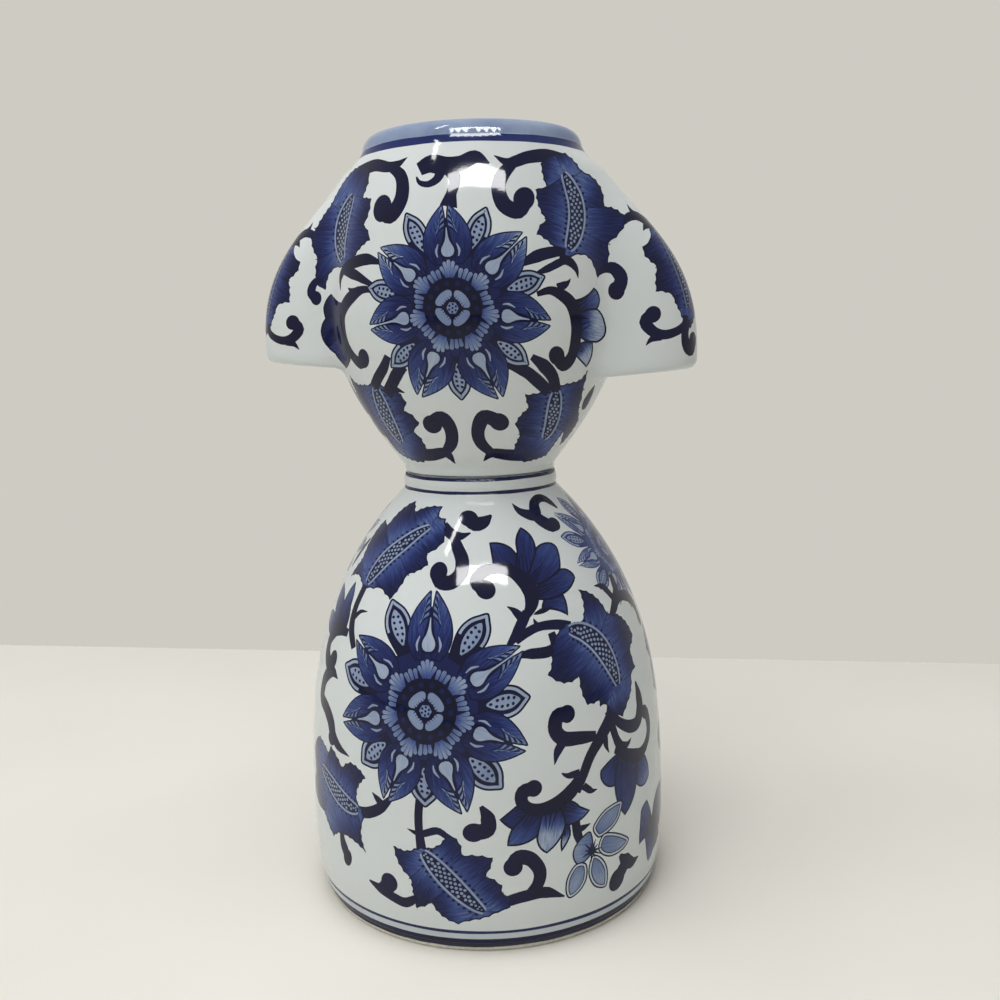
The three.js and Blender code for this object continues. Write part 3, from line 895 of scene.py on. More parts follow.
def flower(coat, centre, radius, pairs, kites, pairReach=None, kiteReach=None, tips=None, handles=(),
           broad=1.0, kiteBroad=1.0, fade=1.0):
    form, tones = flowerForm, flowerTones
    place, local = coat.settle([centre, centre])
    middle = place.inside(*local[0], size=radius)
    dark = tones["dark"] * fade
    coat.dab(middle, oval(0, 0, form["disc"], count=40), tones["disc"] * fade)
    for k, turn in enumerate(kites):
        kitePetal(coat, middle.inside(0, 0, turn), kiteReach[k] if kiteReach else 1.0, kiteBroad, dark)
    for k, turn in enumerate(pairs):
        far = pairReach[k] if pairReach else 1.0
        tip = tips[k] if tips else tones["tip"]
        featherPair(coat, middle.inside(0, 0, turn), far, broad, tip, k in handles, fade)
    # Frill: fans of spread fingers, with rounded strips between
    low, high = form["frill"]
    coat.dab(middle, oval(0, 0, high - 0.005, count=44), dark)
    step = 360 / form["fans"]
    for k in range(form["fans"]):
        axis = pairs[0] + step * k
        for j in (-1, 1, 0):
            turn = axis + step / 2 + 7.6 * j
            foot, top = polar(low + 0.008, turn), polar(high - 0.012 * abs(j + k % 2), turn)
            part = finger(foot, top, 0.014, 0.021)
            coat.dab(middle, part, *tones["strip"], 0.4, polar(low, turn), turn, high - low)
        for j in (-2, 2, -1, 1, 0):
            foot, top = polar(low, axis + 2.6 * j), polar(high + 0.056 - 0.013 * j * j, axis + 6.0 * j)
            part = finger(foot, top, 0.009, 0.0185)
            coat.dab(middle, part, *tones["fan"], 0.4, foot, axis, high - low)
    coat.dab(middle, oval(0, 0, low - 0.002, count=36), tones["eye"] * fade)
    for k in range(form["ringDots"]):
        spot = polar(form["dotRing"], 360 * k / form["ringDots"])
        coat.dab(middle, oval(*spot, form["ringDot"], 1, 0, 8), tones["ringDot"] * fade)
    # Rosette of four toothed petals round a dotted heart
    low, high = form["rosette"]
    side = [(low, 0.055), (high - 0.058, 0.099), (high - 0.018, 0.082)]
    bead = [(low, -0.055), (low + 0.012, 0), *side, (high, 0), *((x, -y) for x, y in side[:0:-1])]
    for k in range(4):
        here = middle.inside(0, 0, 90 * k + 42)
        coat.dab(here, curvePath(bead, 0.03, True), tones["rosette"])
        for y in (-0.054, -0.027, 0.0, 0.027, 0.054):
            notch = [(low - 0.006, y - 0.007), (low + 0.034, y), (low - 0.006, y + 0.007)]
            coat.dab(here, notch, dark)
    coat.dab(middle, oval(0, 0, form["heart"], count=6), tones["heart"])
    for k in range(7):
        spot = polar(0.036 if k else 0, 60 * k + 25)
        coat.dab(middle, oval(*spot, 0.012, 1, 0, 6), tones["kiteDot"])


# Front of the bodice: millimetres along the ring from the middle of the front, millimetres up the outline
def paintBodiceFront(coat):
    tendril(coat, [(-1, 80), (-0.3, 83.5), (0.6, 87), (-0.6, 90)], (2.2, 1.3, 1.3, 1.8))
    tendril(coat, [(-9.3, 90.6), (-6, 92), (-2, 91.2), (2, 91.8), (5.5, 93.4), (9.3, 91.6)],
            (1.8, 2.5, 2.4, 2.0, 1.8, 0.2))
    tendril(coat, [(-3.2, 90), (-4.2, 87.6), (-6.6, 86.3), (-9, 86.9), (-10, 88.6)],
            (1.4, 1.1, 0.9, 0.7, 0.2))
    # Curls beside the neck, running out of the upper leaves
    tendril(coat, [(-33, 92.5), (-28, 93.4), (-24, 93.6), (-19.3, 92.4), (-16.2, 92.7), (-13, 94.5)],
            (2.0, 1.9, 1.8, 1.6, 1.3, 0.1))
    tendril(coat, [(-18, 92), (-15, 89.6), (-14, 86), (-14.6, 82), (-17.6, 78.4)],
            (1.2, 1.7, 1.9, 2.0, 2.1), (-20.4, 80.6, 3.2, 1.2, 80))
    tendril(coat, [(31, 93.2), (25, 94.4), (19.5, 93.6), (14.5, 91.9), (10.4, 93.8)],
            (2.2, 1.9, 1.7, 1.5, 0.1))
    tendril(coat, [(15.6, 92), (12.7, 88.3), (11.8, 84.6), (13.4, 80.4), (17, 79)],
            (1.3, 1.7, 1.7, 1.9, 2.0), (18.6, 82.2, 2.9, 1.1, 70))
    leaf(coat, [(-37.4, 67.4), (-39.2, 71.6), (-39.2, 75.2), (-38.4, 78.8), (-36.6, 82.4), (-34.2, 86)],
         [(-33.2, 65.2), (-24.6, 72.3, -0.08), (-27.4, 76.4, 0.12), (-25, 83.8, 0.1), (-28.7, 84.4, 0),
          (-26.8, 88.6, 0), (-27.5, 93.6, 0.05), (-34.8, 94.2, 0.05), (-44.4, 84.4, 0.1),
          (-50, 77.4, 0.05), (-51.6, 74.4, 0.1), (-49.2, 68.7, 0.08), (-49.5, 61, 0.1),
          (-46.9, 59.8, 0.1), (-41.7, 65.8, -0.2), (-36.5, 65.4, 0)], half=2.9)
    leaf(coat, [(31.5, 69.6), (33.6, 73.5), (34.8, 78), (34.4, 82.5), (32.6, 86.5), (30.5, 90)],
         [(29, 67.5), (22.2, 73.2, -0.08), (25, 76.8, 0.12), (22, 84.9, 0.1), (25.1, 85.6, 0),
          (23.5, 92, 0.05), (28, 95, 0.1), (31.5, 95.6, 0.05), (36.5, 91, 0.06), (44, 81.5, 0.22),
          (50.2, 79.2, 0.1), (49.8, 75.8, 0.12), (45.3, 72, 0.06), (41.8, 62.8, 0.2),
          (32.5, 67.9, -0.28)], half=2.5)
    # Stems between the flower and the leaves
    tendril(coat, [(18, 65.6), (23, 67.8), (28, 68.9), (30.5, 68.6)], (0.8, 1.5, 1.4, 1.0))
    tendril(coat, [(28.6, 67.4), (32, 66.4), (34, 64.6), (34.6, 62.4)], (0.8, 1.2, 0.9, 0.1))
    tendril(coat, [(21.5, 63), (25.4, 64.6), (29.4, 66.4), (31.5, 66.4)], (0.3, 0.9, 1.0, 0.8))
    tendril(coat, [(32, 62.2), (31, 61), (28, 59.6)], (0.1, 0.9, 1.2))
    tendril(coat, [(-21, 66), (-25.5, 67), (-31, 66.4), (-36, 65), (-38.4, 62.4), (-38.4, 58.9)],
            (0.6, 1.5, 1.6, 1.4, 1.1, 0.1))
    tendril(coat, [(-36, 64.6), (-30.4, 63), (-26.6, 61.4), (-23.4, 60)], (1.2, 1.5, 1.1, 0.6))
    tendril(coat, [(-34, 59.6), (-31.6, 58.4), (-29, 58.6)], (0.1, 1.0, 1.2))
    tendril(coat, [(-47.8, 61.6), (-49.6, 62.4), (-51.4, 60.6), (-51.8, 58.4)], (0.7, 0.9, 1.1, 1.4),
            (-50.4, 57.2, 1.8, 1.15, 80))
    tendril(coat, [(42.4, 63.8), (44.6, 65.2), (47.2, 65.4), (49.4, 63.2), (49.2, 61)],
            (0.5, 1.0, 1.5, 1.7, 1.8), (48.2, 59.6, 2.4))
    # Half-open flowers at the sides
    halfFlower(coat,
               [(-22.6, 58.6), (-27.8, 58.8), (-34.2, 56), (-37.8, 52.5), (-38.2, 48.5), (-37.2, 44.4),
                (-34.4, 40.6), (-31, 38.6)],
               [(0.88, (-37, 55.5), (-44.8, 58.4, -0.08), (-48.2, 54.4, 0.12), (-47.6, 51.2, 0.05),
                 (-38, 50.5)),
                (0.86, (-38, 51.5), (-47.6, 51.4), (-49.2, 47.6, 0.1), (-47, 43, 0.1), (-38, 46)),
                (0.7, (-38, 47.5), (-47, 43), (-44.6, 41, 0.05), (-41, 36.4, 0.05), (-35.5, 40))],
               (0.6, 1.0, 1.7, 1.9, 1.9, 1.7, 1.4, 1.5), (-29, 40, 2.4, 1.15, 80))
    halfFlower(coat,
               [(22, 58), (26, 59), (30.6, 57.2), (33, 54.5), (34, 50.3), (33.6, 46), (32.2, 42),
                (29.6, 40.2)],
               [(0.44, (33.5, 57), (40.4, 60.3, -0.08), (43, 57.4, 0.15), (42, 54.9, 0.1), (35, 53)),
                (0.2, (35, 46), (40.4, 46.2), (38.3, 39.5, 0.15), (35.3, 41.5, 0), (33, 44)),
                (0.2, (34.5, 53.5), (42, 54.9), (45, 51.2, 0.12), (44.8, 47.8, 0.12), (40.6, 46.1, 0.14),
                 (35, 47.5))], (0.6, 1.0, 1.5, 1.8, 1.8, 1.7, 1.5, 1.6), (27.6, 42.6, 2.5))
    # Lower curls and leaves
    tendril(coat, [(-3.2, 8.4), (-5.5, 12), (-10, 11.2), (-14.5, 11.2), (-19, 13)],
            (0.1, 1.6, 1.9, 1.9, 1.4))
    tendril(coat, [(-6, 11.5), (-3.4, 15.8), (-3.2, 20.4), (-5.2, 23.6)], (1.2, 1.6, 1.7, 1.9),
            (-8.2, 21.4, 2.8))
    leaf(coat, [(-25.8, 31.6), (-25, 27.6), (-23.8, 22.8), (-22, 18), (-20.4, 14.5)],
         [(-25.5, 33.4), (-19, 31.4, -0.05), (-15.3, 27.5, 0.12), (-16.6, 25.2, 0), (-12.2, 21.4, 0.12),
          (-14.7, 18.8, 0), (-12.4, 16.4, 0.05), (-11, 12.5, 0), (-13.5, 8.5, 0.05), (-20.8, 9.4, 0.05),
          (-26.5, 11.5, 0.05), (-29, 16, 0), (-34.5, 17.5, 0.1), (-34.5, 22.5, 0), (-39.5, 25, 0.1),
          (-38.2, 29, 0), (-39.4, 34.6, 0.05), (-33, 31.8, -0.1), (-28, 32, 0)])
    tendril(coat, [(-19.6, 41), (-21.4, 37.6), (-23.8, 34.6), (-26, 31.6)], (1.0, 1.5, 1.6, 1.6))
    tendril(coat, [(-14.6, 38.4), (-17, 36), (-19, 33), (-21.4, 29.6)], (1.2, 1.8, 1.7, 1.7))
    tendril(coat, [(-20.4, 30.8), (-18, 31.4), (-15.2, 30.6)], (1.0, 0.8, 0.1))
    tendril(coat, [(4.8, 9.4), (7.5, 12), (12, 11.4), (17, 11), (21, 12.6)], (0.1, 1.6, 1.9, 1.9, 1.4))
    tendril(coat, [(8, 11.6), (4.8, 15.6), (4.3, 20), (6.5, 24.4)], (1.2, 1.6, 1.7, 1.9),
            (10.4, 22.8, 2.8))
    leaf(coat, [(28.2, 33), (27.8, 29.8), (27.2, 25.2), (26, 20.6), (23.9, 16.6)],
         [(25.5, 33.2), (18.3, 31.4, -0.05), (19.2, 27.2, 0), (15, 22, 0.08), (16.2, 18.6, 0),
          (14.5, 15, 0), (13, 10.5, 0), (17, 8.5, 0.05), (25.3, 10.2, 0.03), (32.2, 19, 0),
          (31.8, 13.4, 0), (37, 18, 0.05), (39.4, 22, 0.08), (37.8, 27, 0), (38.4, 33, 0.05),
          (39, 38.8, 0.03), (34, 35.2, -0.15), (29, 34.2, 0)], half=2.1)
    tendril(coat, [(12.4, 40), (18, 38.4), (21.4, 36), (25.6, 32.4)], (0.4, 1.5, 1.7, 1.6))
    tendril(coat, [(20.2, 42.2), (24, 39.6), (26.6, 36.6), (28, 32.6)], (0.8, 1.8, 1.7, 1.5))
    tendril(coat, [(44.6, 33.4), (43.4, 31.5), (42, 29)], (0.3, 1.3, 1.6), (41.8, 28.6, 2.0, 1.5, 65))
    tendril(coat, [(-43.4, 33), (-42.4, 31), (-41, 28.6)], (0.3, 1.3, 1.6), (-40.8, 28.2, 2.0, 1.5, 115))
    flower(coat, (-0.1, 54.1), 26.8, (94, 45, 353, 296, 246, 192, 144),
           (71, 19, 324, 272, 221, 168, 117), (1.0, 1.0, 0.98, 0.98, 0.98, 0.95, 0.97),
           (1.02, 0.97, 0.9, 0.92, 0.93, 0.97, 1.04), (0.5, 0.3, 0.42, 0.42, 0.36, 0.4, 0.27),
           handles=(1, 5), broad=0.95)


# One face of a sleeve, with its leaf along the outer edge
def paintSleeve(coat, withLeaf):
    if withLeaf:
        leaf(coat, [(63.2, 75.5), (66.4, 70), (68.8, 64), (70.4, 58), (70.6, 53)],
             [(60, 77), (58.6, 71.6, 0), (55.8, 69.4, 0), (56.5, 67.2, 0.05), (60, 64.4, 0.03),
              (59.6, 57.7, 0.05), (64.8, 56.4, -0.1), (66.4, 53, 0.05), (68.6, 48.6, 0), (71, 47.6, 0),
              (74, 50.6, 0), (78, 54, 0.05), (84, 56, 0.05), (81.5, 63, 0), (86, 68, 0.08), (79, 72, 0),
              (76, 77, 0.05), (66, 80, 0)], inner=0.56, edge=0.9, railTone=0.4, half=1.9)
    tendril(coat, [(69, 51), (68.4, 48.6), (65.8, 47), (61.8, 46.2), (58.4, 47.2), (56.2, 50)],
            (1.0, 1.1, 1.1, 1.2, 1.4, 1.6), (58.4, 51.8, 2.2, 1.1, 20))
    tendril(coat, [(60.4, 46), (57.7, 45.3), (56, 43.8)], (1.2, 0.8, 0.1))
    if coat.flip > 0:
        tendril(coat, [(69.6, 50), (68.4, 46), (68.8, 42.6), (70.6, 41.6)], (1.6, 1.3, 1.5, 1.8),
                (72.2, 44.2, 2.2))
    tendril(coat, [(49.6, 76.4), (52, 77.8), (55, 78.2), (58.4, 77), (62, 75)], (1.0, 1.2, 1.3, 1.5, 1.2))
    tendril(coat, [(56.4, 74), (57.6, 75.4), (60, 76)], (0.1, 1.0, 1.0))
    tendril(coat, [(52.4, 81.4), (53.2, 79.6), (55, 78.4)], (0.1, 0.7, 0.9))


# Bands round the neck: from and to in millimetres up the outline, ink, waver and seed
bodiceBands = (97.0, 99.3, 0.7, 0.12, 1.0), (99.3, 109.0, 0.26, 0.05, 2.0)


def bodicePainting():
    coat = Painting(bodice, False)
    coat.ease = (5, 40), (0.0, -1.0)
    for coat.turn in (0, 180):
        for coat.flip, coat.lift in ((1, 1.0), (-1, -2.0)):
            paintSleeve(coat, coat.turn == 0)
        coat.flip, coat.lift = 1, 0.0
        paintBodiceFront(coat)
    coat.turn = 0
    for band in bodiceBands:
        coat.band(*band)
    return coat


# Front of the skirt: degrees from the middle of the front, millimetres up the outline
def paintSkirtFront(coat):
    # Scrolls under the waist
    tendril(coat, [(14.8, 123.3), (10, 121.2), (6, 120.6)], (0.3, 1.7, 2.2), (1.8, 122.4, 2.6))
    tendril(coat, [(-10.4, 121), (-7, 117.6), (-2, 116.7), (3.4, 117.8)], (0.2, 1.5, 1.3, 0.2))
    tendril(coat, [(-5, 116.6), (-2.2, 113), (0.2, 109.4), (0, 105.6), (-3.6, 103), (-8, 103.2)],
            (1.1, 1.5, 1.7, 1.8, 1.9, 2.0), (-9.4, 105.8, 2.5, 1.2, 80))
    tendril(coat,
            [(29, 126.7), (32.5, 123.8), (38.5, 122.2), (42, 123), (44.6, 125.8), (50, 127.3),
             (56, 126.6), (61, 123)], (0.1, 1.2, 1.8, 1.7, 1.3, 1.3, 1.0, 0.3))
    tendril(coat, [(40, 122.6), (43.6, 120), (48, 118)], (1.6, 1.9, 2.0), (50.6, 118.4, 2.2))
    leaf(coat, [(-44.3, 99.8), (-42, 104), (-37.8, 108.8), (-31, 113.6), (-25, 117.2), (-19.6, 119.4)],
         [(-43, 98.6), (-35, 99.6, 0.03), (-28.2, 96.8, 0), (-23.4, 104.6, 0.05), (-14.9, 107.9, 0.08),
          (-16.9, 111, 0), (-9.7, 115, 0.1), (-11.8, 122, 0.05), (-16.4, 122.6, 0), (-16.3, 126, 0),
          (-27, 125.4, 0.05), (-34, 123.4, 0.05), (-39.3, 127, 0), (-50, 120.4, 0.08), (-51.5, 117.6, 0),
          (-58, 119, 0), (-60, 110, 0.1), (-57.5, 105.3, 0), (-61, 99.3, 0.05), (-52, 101, -0.1),
          (-46.6, 98.8, 0)], half=2.1)
    tendril(coat, [(-44.8, 99), (-46, 91.5), (-44.5, 86), (-40.5, 81)], (1.2, 1.2, 1.3, 1.0))
    tendril(coat, [(-45, 89), (-42, 91.4), (-38, 92)], (0.8, 0.6, 0.1))
    tendril(coat, [(-62, 112), (-64, 109), (-66, 105), (-67, 101.6)], (0.6, 1.0, 1.1, 0.3))
    # Palmette to the right of the flower
    halfFlower(coat,
               [(24.2, 93), (26.6, 96), (27.2, 99.4), (25, 103), (20.8, 105.8), (15, 106.8), (9.2, 106),
                (6.2, 103)],
               [(0.66, (13.5, 106), (12.3, 114.7, 0), (22.5, 112.8, 0.12), (26, 106)),
                (0.66, (22, 105), (24.6, 111.8, 0), (29.6, 118.9, 0.12), (34.4, 112, 0.14), (29, 103)),
                (0.6, (30, 94.5), (33, 98), (40.4, 97.5, 0), (39.9, 91.3, 0.08), (33.2, 93.8, -0.06),
                 (26.5, 93)),
                (0.6, (30, 101), (43, 104.9, 0), (47.5, 103.6, 0.1), (48.7, 101.4, 0.1),
                 (40.4, 97.4, 0.1), (29, 97)),
                (0.58, (27, 104), (34.4, 112.2, 0), (42, 113.2, 0.1), (45.6, 111.2, 0.12),
                 (43, 104.9, 0.06), (29, 101))], (1.0, 1.8, 2.1, 2.0, 1.6, 1.4, 1.5, 1.5),
               (9.9, 100.9, 2.7))
    tendril(coat, [(24.5, 94), (22.2, 91.3), (19.7, 88.2), (17.5, 86), (15.4, 84.2)],
            (1.2, 1.4, 1.3, 0.9, 0.2))
    tendril(coat, [(22.4, 92.4), (19.6, 94.8), (17.4, 95.9)], (1.3, 0.9, 0.1))
    # Stem and the large leaf on the right
    tendril(coat, [(19.4, 86), (24, 88.6), (29, 89.7), (35.5, 89.4), (40, 88.4)],
            (0.6, 1.1, 1.1, 1.3, 1.2))
    tendril(coat, [(26.4, 92), (27, 90.6), (28, 89.6)], (0.1, 0.6, 0.7))
    tendril(coat, [(19.4, 82.2), (22.6, 82.6), (29.6, 82.6), (32.6, 84), (32, 87.6)],
            (0.5, 1.3, 1.4, 1.3, 1.0))
    tendril(coat, [(52, 67), (50, 61.6), (45, 56.8), (40.4, 52.4), (37.4, 47.6), (35, 43.6)],
            (2.4, 2.0, 1.8, 1.5, 1.4, 1.2))
    leaf(coat, [(38.8, 87.5), (43.6, 86.4), (48, 83.8), (51, 80.4), (53, 76.6), (54.4, 72.6), (55, 69)],
         [(38.5, 89.2), (45.2, 88.8, 0), (48.2, 97.8, -0.12), (58.5, 89, 0.14), (70.8, 80, 0.16),
          (66, 77.2, 0.05), (66.6, 71.4, -0.05), (63, 70.2, 0), (59.5, 64, 0.1), (55, 60, 0),
          (50, 62, 0), (48.6, 65.2, 0), (45.8, 65.2, 0), (45.9, 66.8, 0), (41, 66.6, 0.05),
          (39.6, 74.6, 0.08), (28.6, 76.7, 0.2), (30.5, 79, -0.1), (31.5, 84, 0)], half=2.6)
    tendril(coat, [(43, 57.4), (36.8, 58), (31.6, 58.8), (29.3, 61.6), (30.4, 65)],
            (1.2, 1.6, 1.8, 1.9, 1.9), (33.6, 65.2, 2.4))
    tendril(coat, [(32, 58.4), (29.6, 55.6), (28.4, 52.2)], (1.3, 1.1, 0.1))
    tendril(coat, [(50.5, 61), (53.8, 58.2), (58, 56.2), (62.4, 56), (65.2, 59), (65.6, 63), (65, 67.5)],
            (1.2, 1.4, 1.7, 1.8, 2.0, 1.6, 0.3))
    tendril(coat, [(37.4, 44.8), (40.2, 42.8), (42.3, 42.8)], (1.0, 0.9, 0.1))
    tendril(coat, [(36.4, 48.8), (32.6, 48.6), (30.5, 49.6)], (0.9, 0.9, 0.2))
    tendril(coat, [(46.6, 57.4), (46.6, 54), (47.6, 51.6)], (0.8, 0.9, 0.1))
    # Hanging bell flower
    tendril(coat, [(49, 63), (50, 58), (51.4, 54), (53.4, 51)], (1.4, 1.2, 1.2, 1.6))
    halfFlower(coat,
               [(50, 51.6), (53, 50.2), (57, 48.2), (62, 46.8), (66, 47.6), (69.4, 50.2), (70.4, 53.5),
                (69.6, 56.6)],
               [(0.6, (51, 50.5), (43.8, 47.6, 0.05), (44, 44.5, 0.12), (49.2, 41.6, 0.15), (54, 47)),
                (0.4, (58, 47), (60.1, 38.6), (64.5, 36.8, 0.1), (68.4, 38.6, 0.12), (67.4, 43.6, 0.08),
                 (64, 47)),
                (0.6, (51.5, 49.5), (49.1, 41.7), (53.6, 31.8, 0.1), (60, 38.8, 0.1), (60.4, 47))],
               (0.8, 1.4, 1.8, 1.9, 1.6, 1.3, 1.3, 1.5), (68.4, 57.4, 2.0))
    tendril(coat, [(53, 52.4), (56, 51.6), (58.4, 52.8)], (0.9, 0.9, 0.1))
    # Half-open flower below it, and the pale one
    tendril(coat, [(34.4, 36), (35, 32), (36.5, 28)], (1.2, 1.3, 0.9))
    tendril(coat, [(34.6, 33), (37, 33.2), (39.5, 33.8)], (1.0, 0.8, 0.1))
    halfFlower(coat,
               [(36.2, 47.3), (33.4, 44.3), (29.2, 41.9), (24.6, 40.8), (20.6, 41.4), (18.3, 43.6),
                (18.8, 46.2)],
               [(0.74, (18.5, 44), (14.6, 41.2, 0), (11.8, 39.2, 0), (15.1, 36.3, 0.05), (22, 38)),
                (0.2, (31, 36), (32.6, 35), (32.8, 32, 0.05), (29.7, 27.9, 0.05), (30, 33)),
                (0.42, (32.6, 42), (36, 39.6), (39.5, 37.6, 0), (31.6, 34.9, 0.12), (29, 39)),
                (0.5, (20, 41), (15.1, 36.3, 0), (13.8, 31.8, 0.06), (22.2, 33.2, 0.1), (25, 39.5)),
                (0.24, (24, 40.5), (22.2, 33.1, 0), (25.2, 28.3, 0.14), (31.4, 35, 0.1), (30, 40))],
               (1.3, 1.9, 1.9, 1.8, 1.6, 1.5, 1.7), (21.9, 46.8, 2.3))
    paleFlower(coat, (39.9, 25.8),
               [(0, (39.6, 31), (36.8, 30.4), (34.2, 28), (33.8, 25.4), (35.4, 23.2), (38.6, 24),
                 (40.4, 26.6)),
                (1, (41.6, 29), (40.3, 32), (44.6, 35.5), (51.2, 36), (50.5, 32.4), (48, 30),
                 (43.6, 28.6)),
                (1, (38, 23), (34.6, 23.6), (32, 20.6), (31.5, 17), (32.8, 14.8), (36, 16), (38.2, 19)),
                (1, (39.9, 24.4), (42.9, 23.4), (45.3, 19.6), (45, 14.6), (40.8, 15.8), (38.6, 20)),
                (1, (42, 26.4), (44, 29.2), (48, 28.4), (52.6, 26), (54.3, 24.2), (51.6, 22.4),
                 (46.6, 22.2), (43, 24))])
    tendril(coat, [(60.8, 17), (57, 16.6), (53, 19), (51, 21)], (0.1, 1.6, 2.1, 0.5))
    tendril(coat, [(54, 17.6), (52.4, 16.4), (50.6, 14.6)], (2.0, 2.1, 2.2), (50, 14, 3.1, 1.1, 60))
    # Curl and leaf at the bottom
    tendril(coat, [(9, 14), (14, 16.2), (19, 17.2), (24.5, 17.4), (30.6, 15)], (0.8, 1.5, 1.6, 1.5, 0.2))
    tendril(coat, [(20, 17.6), (22.6, 20.4), (23, 24), (20.4, 27.5), (17, 28.2)],
            (1.3, 1.6, 1.7, 1.8, 2.0), (15.4, 25.8, 2.6))
    tendril(coat, [(-9.6, 50), (-11, 43), (-11.4, 37), (-10.6, 28.5)], (1.2, 1.1, 1.1, 1.4))
    tendril(coat, [(-15, 35.3), (-11, 34.4), (-6, 35.8), (-3, 34.4)], (0.1, 0.9, 1.0, 0.8))
    leaf(coat, [(-10.4, 29.4), (-6.8, 25.8), (-2.9, 22), (1.4, 18), (4.7, 15.1), (7, 13.4)],
         [(-8.5, 30.6), (-3, 35.2, -0.15), (0.9, 29.2, 0.2), (9.7, 28.5, 0.06), (7.3, 23.6, 0.05),
          (12, 20.6, 0.08), (12, 18.6, 0), (14.5, 17.2, 0), (14, 14.4, 0), (10.8, 13.3, 0.05),
          (2.6, 10.8, 0.05), (-0.8, 9.6, 0), (-8.2, 15.4, 0.12), (-13.2, 13, 0.05), (-13.8, 17.5, 0),
          (-14.4, 21.4, 0), (-19.6, 29.7, 0.12), (-13, 29.8, -0.15)], half=2.2)
    tendril(coat, [(6.8, 43), (8.6, 39.8), (8.4, 36.6)], (0.5, 1.8, 2.0), (4.6, 35.8, 2.6, 1.15, 10))
    tendril(coat, [(-29.4, 17.2), (-25, 15.8), (-20.4, 14.4), (-16.6, 13.8), (-12.6, 16)],
            (0.3, 1.4, 1.4, 1.4, 0.9))
    tendril(coat, [(-25.4, 15.6), (-23.4, 16.6), (-22, 18)], (1.4, 1.9, 2.2), (-21.8, 18.6, 2.7))
    tendril(coat, [(-41.6, 29.4), (-41.2, 25), (-39.4, 21.6)], (0.2, 1.1, 1.7), (-39, 20.8, 1.9, 1.4, 70))
    # Leaf at the lower left with its stem
    tendril(coat, [(-35, 36.4), (-29.4, 36.8), (-24, 39.4), (-19.6, 43.4)], (1.4, 1.5, 1.4, 0.6))
    tendril(coat, [(-27, 43.2), (-24.6, 41.4), (-22.6, 40)], (0.1, 1.0, 1.0))
    leaf(coat, [(-33, 36.6), (-37.4, 36.8), (-42.5, 38.2), (-48, 40.4), (-54, 43)],
         [(-33.4, 38.8), (-32.8, 43.4, -0.1), (-29.8, 46.6, -0.05), (-36.2, 49.2, 0.1),
          (-40.4, 46.5, 0.08), (-47.4, 51, 0.05), (-48.9, 48.3, 0), (-56.5, 51, 0.05), (-64, 45, 0.1),
          (-62, 38, 0), (-66, 33, 0.1), (-57, 29.5, 0.1), (-53, 29.5, 0), (-46.7, 24.6, 0.05),
          (-40, 27.4, -0.1), (-30.3, 25.1, -0.08), (-32, 31.7, -0.1), (-30.8, 35, 0)], half=2.2)
    # Half-open flower and tendrils at the left edge
    halfFlower(coat, [(-46, 84.4), (-51, 84.4), (-56, 83), (-61, 80)],
               [(0.5, (-51, 86), (-58, 93), (-67, 96.5), (-66, 90), (-58, 84)),
                (0.5, (-56, 84.5), (-65, 87.4), (-72, 86), (-66, 82), (-59, 81)),
                (0.52, (-48, 85.6), (-49.6, 92), (-53.4, 99), (-57, 92), (-54, 85))],
               (1.0, 1.6, 1.6, 1.2))
    tendril(coat, [(-54, 84), (-59, 80.2), (-58.8, 76.2), (-55.4, 73.4)], (1.4, 1.8, 1.9, 2.0),
            (-52.4, 75, 2.4, 1.3, 70))
    tendril(coat,
            [(-46.5, 70.8), (-51, 72), (-55.8, 69.4), (-57.4, 66), (-56.8, 62.6), (-52, 60.6),
             (-48.4, 58), (-46.8, 55)], (0.1, 1.5, 1.9, 1.9, 1.9, 1.9, 2.0, 2.0), (-47, 53.4, 2.1))
    tendril(coat, [(-48.2, 57), (-43.5, 52.6), (-36.8, 50.8)], (1.6, 1.4, 0.1))
    # Stems at the right edge, and the dark flower below
    tendril(coat, [(72, 99), (71, 94.4), (66, 91), (61, 88)], (1.2, 1.5, 1.5, 1.0))
    tendril(coat, [(57, 97.7), (62, 96.6), (66, 92.6)], (0.1, 1.1, 1.1))
    tendril(coat, [(66, 91), (72, 92), (80, 90), (84, 86.6)], (1.2, 1.4, 1.7, 1.9),
            (84.4, 82.6, 2.1, 1.3, 85))
    halfFlower(coat, [(79, 16), (76, 20), (73, 22.4), (71, 24.6)],
               [(0.5, (70, 24), (72, 28, 0), (77, 31.5), (86, 31), (88, 26), (80, 19)),
                (0.55, (68, 22), (65, 20.6, 0), (66.5, 15, 0), (68.6, 11.8, 0.05), (73, 14, 0.05),
                 (80, 16)),
                (0.55, (72, 22), (69.8, 27, 0), (66.6, 31.8, 0.03), (62.3, 30, 0.1), (61.6, 25, 0),
                 (61.2, 20.2, 0.05), (68, 20.5, -0.05))], (0.8, 1.9, 2.3, 1.9))
    flower(coat, (-9.3, 67.8), 29.5, (91, 147, 194, 245, 292, 340, 33), (115, 165, 220, 270, 316, 7, 60),
           (1.08, 1.0, 1.0, 0.96, 0.97, 0.98, 1.0), (1.06, 1.03, 0.9, 0.87, 0.98, 0.95, 1.01),
           (0.5, 0.5, 0.44, 0.36, 0.38, 0.44, 0.42), handles=(6,), broad=0.86, kiteBroad=1.22)


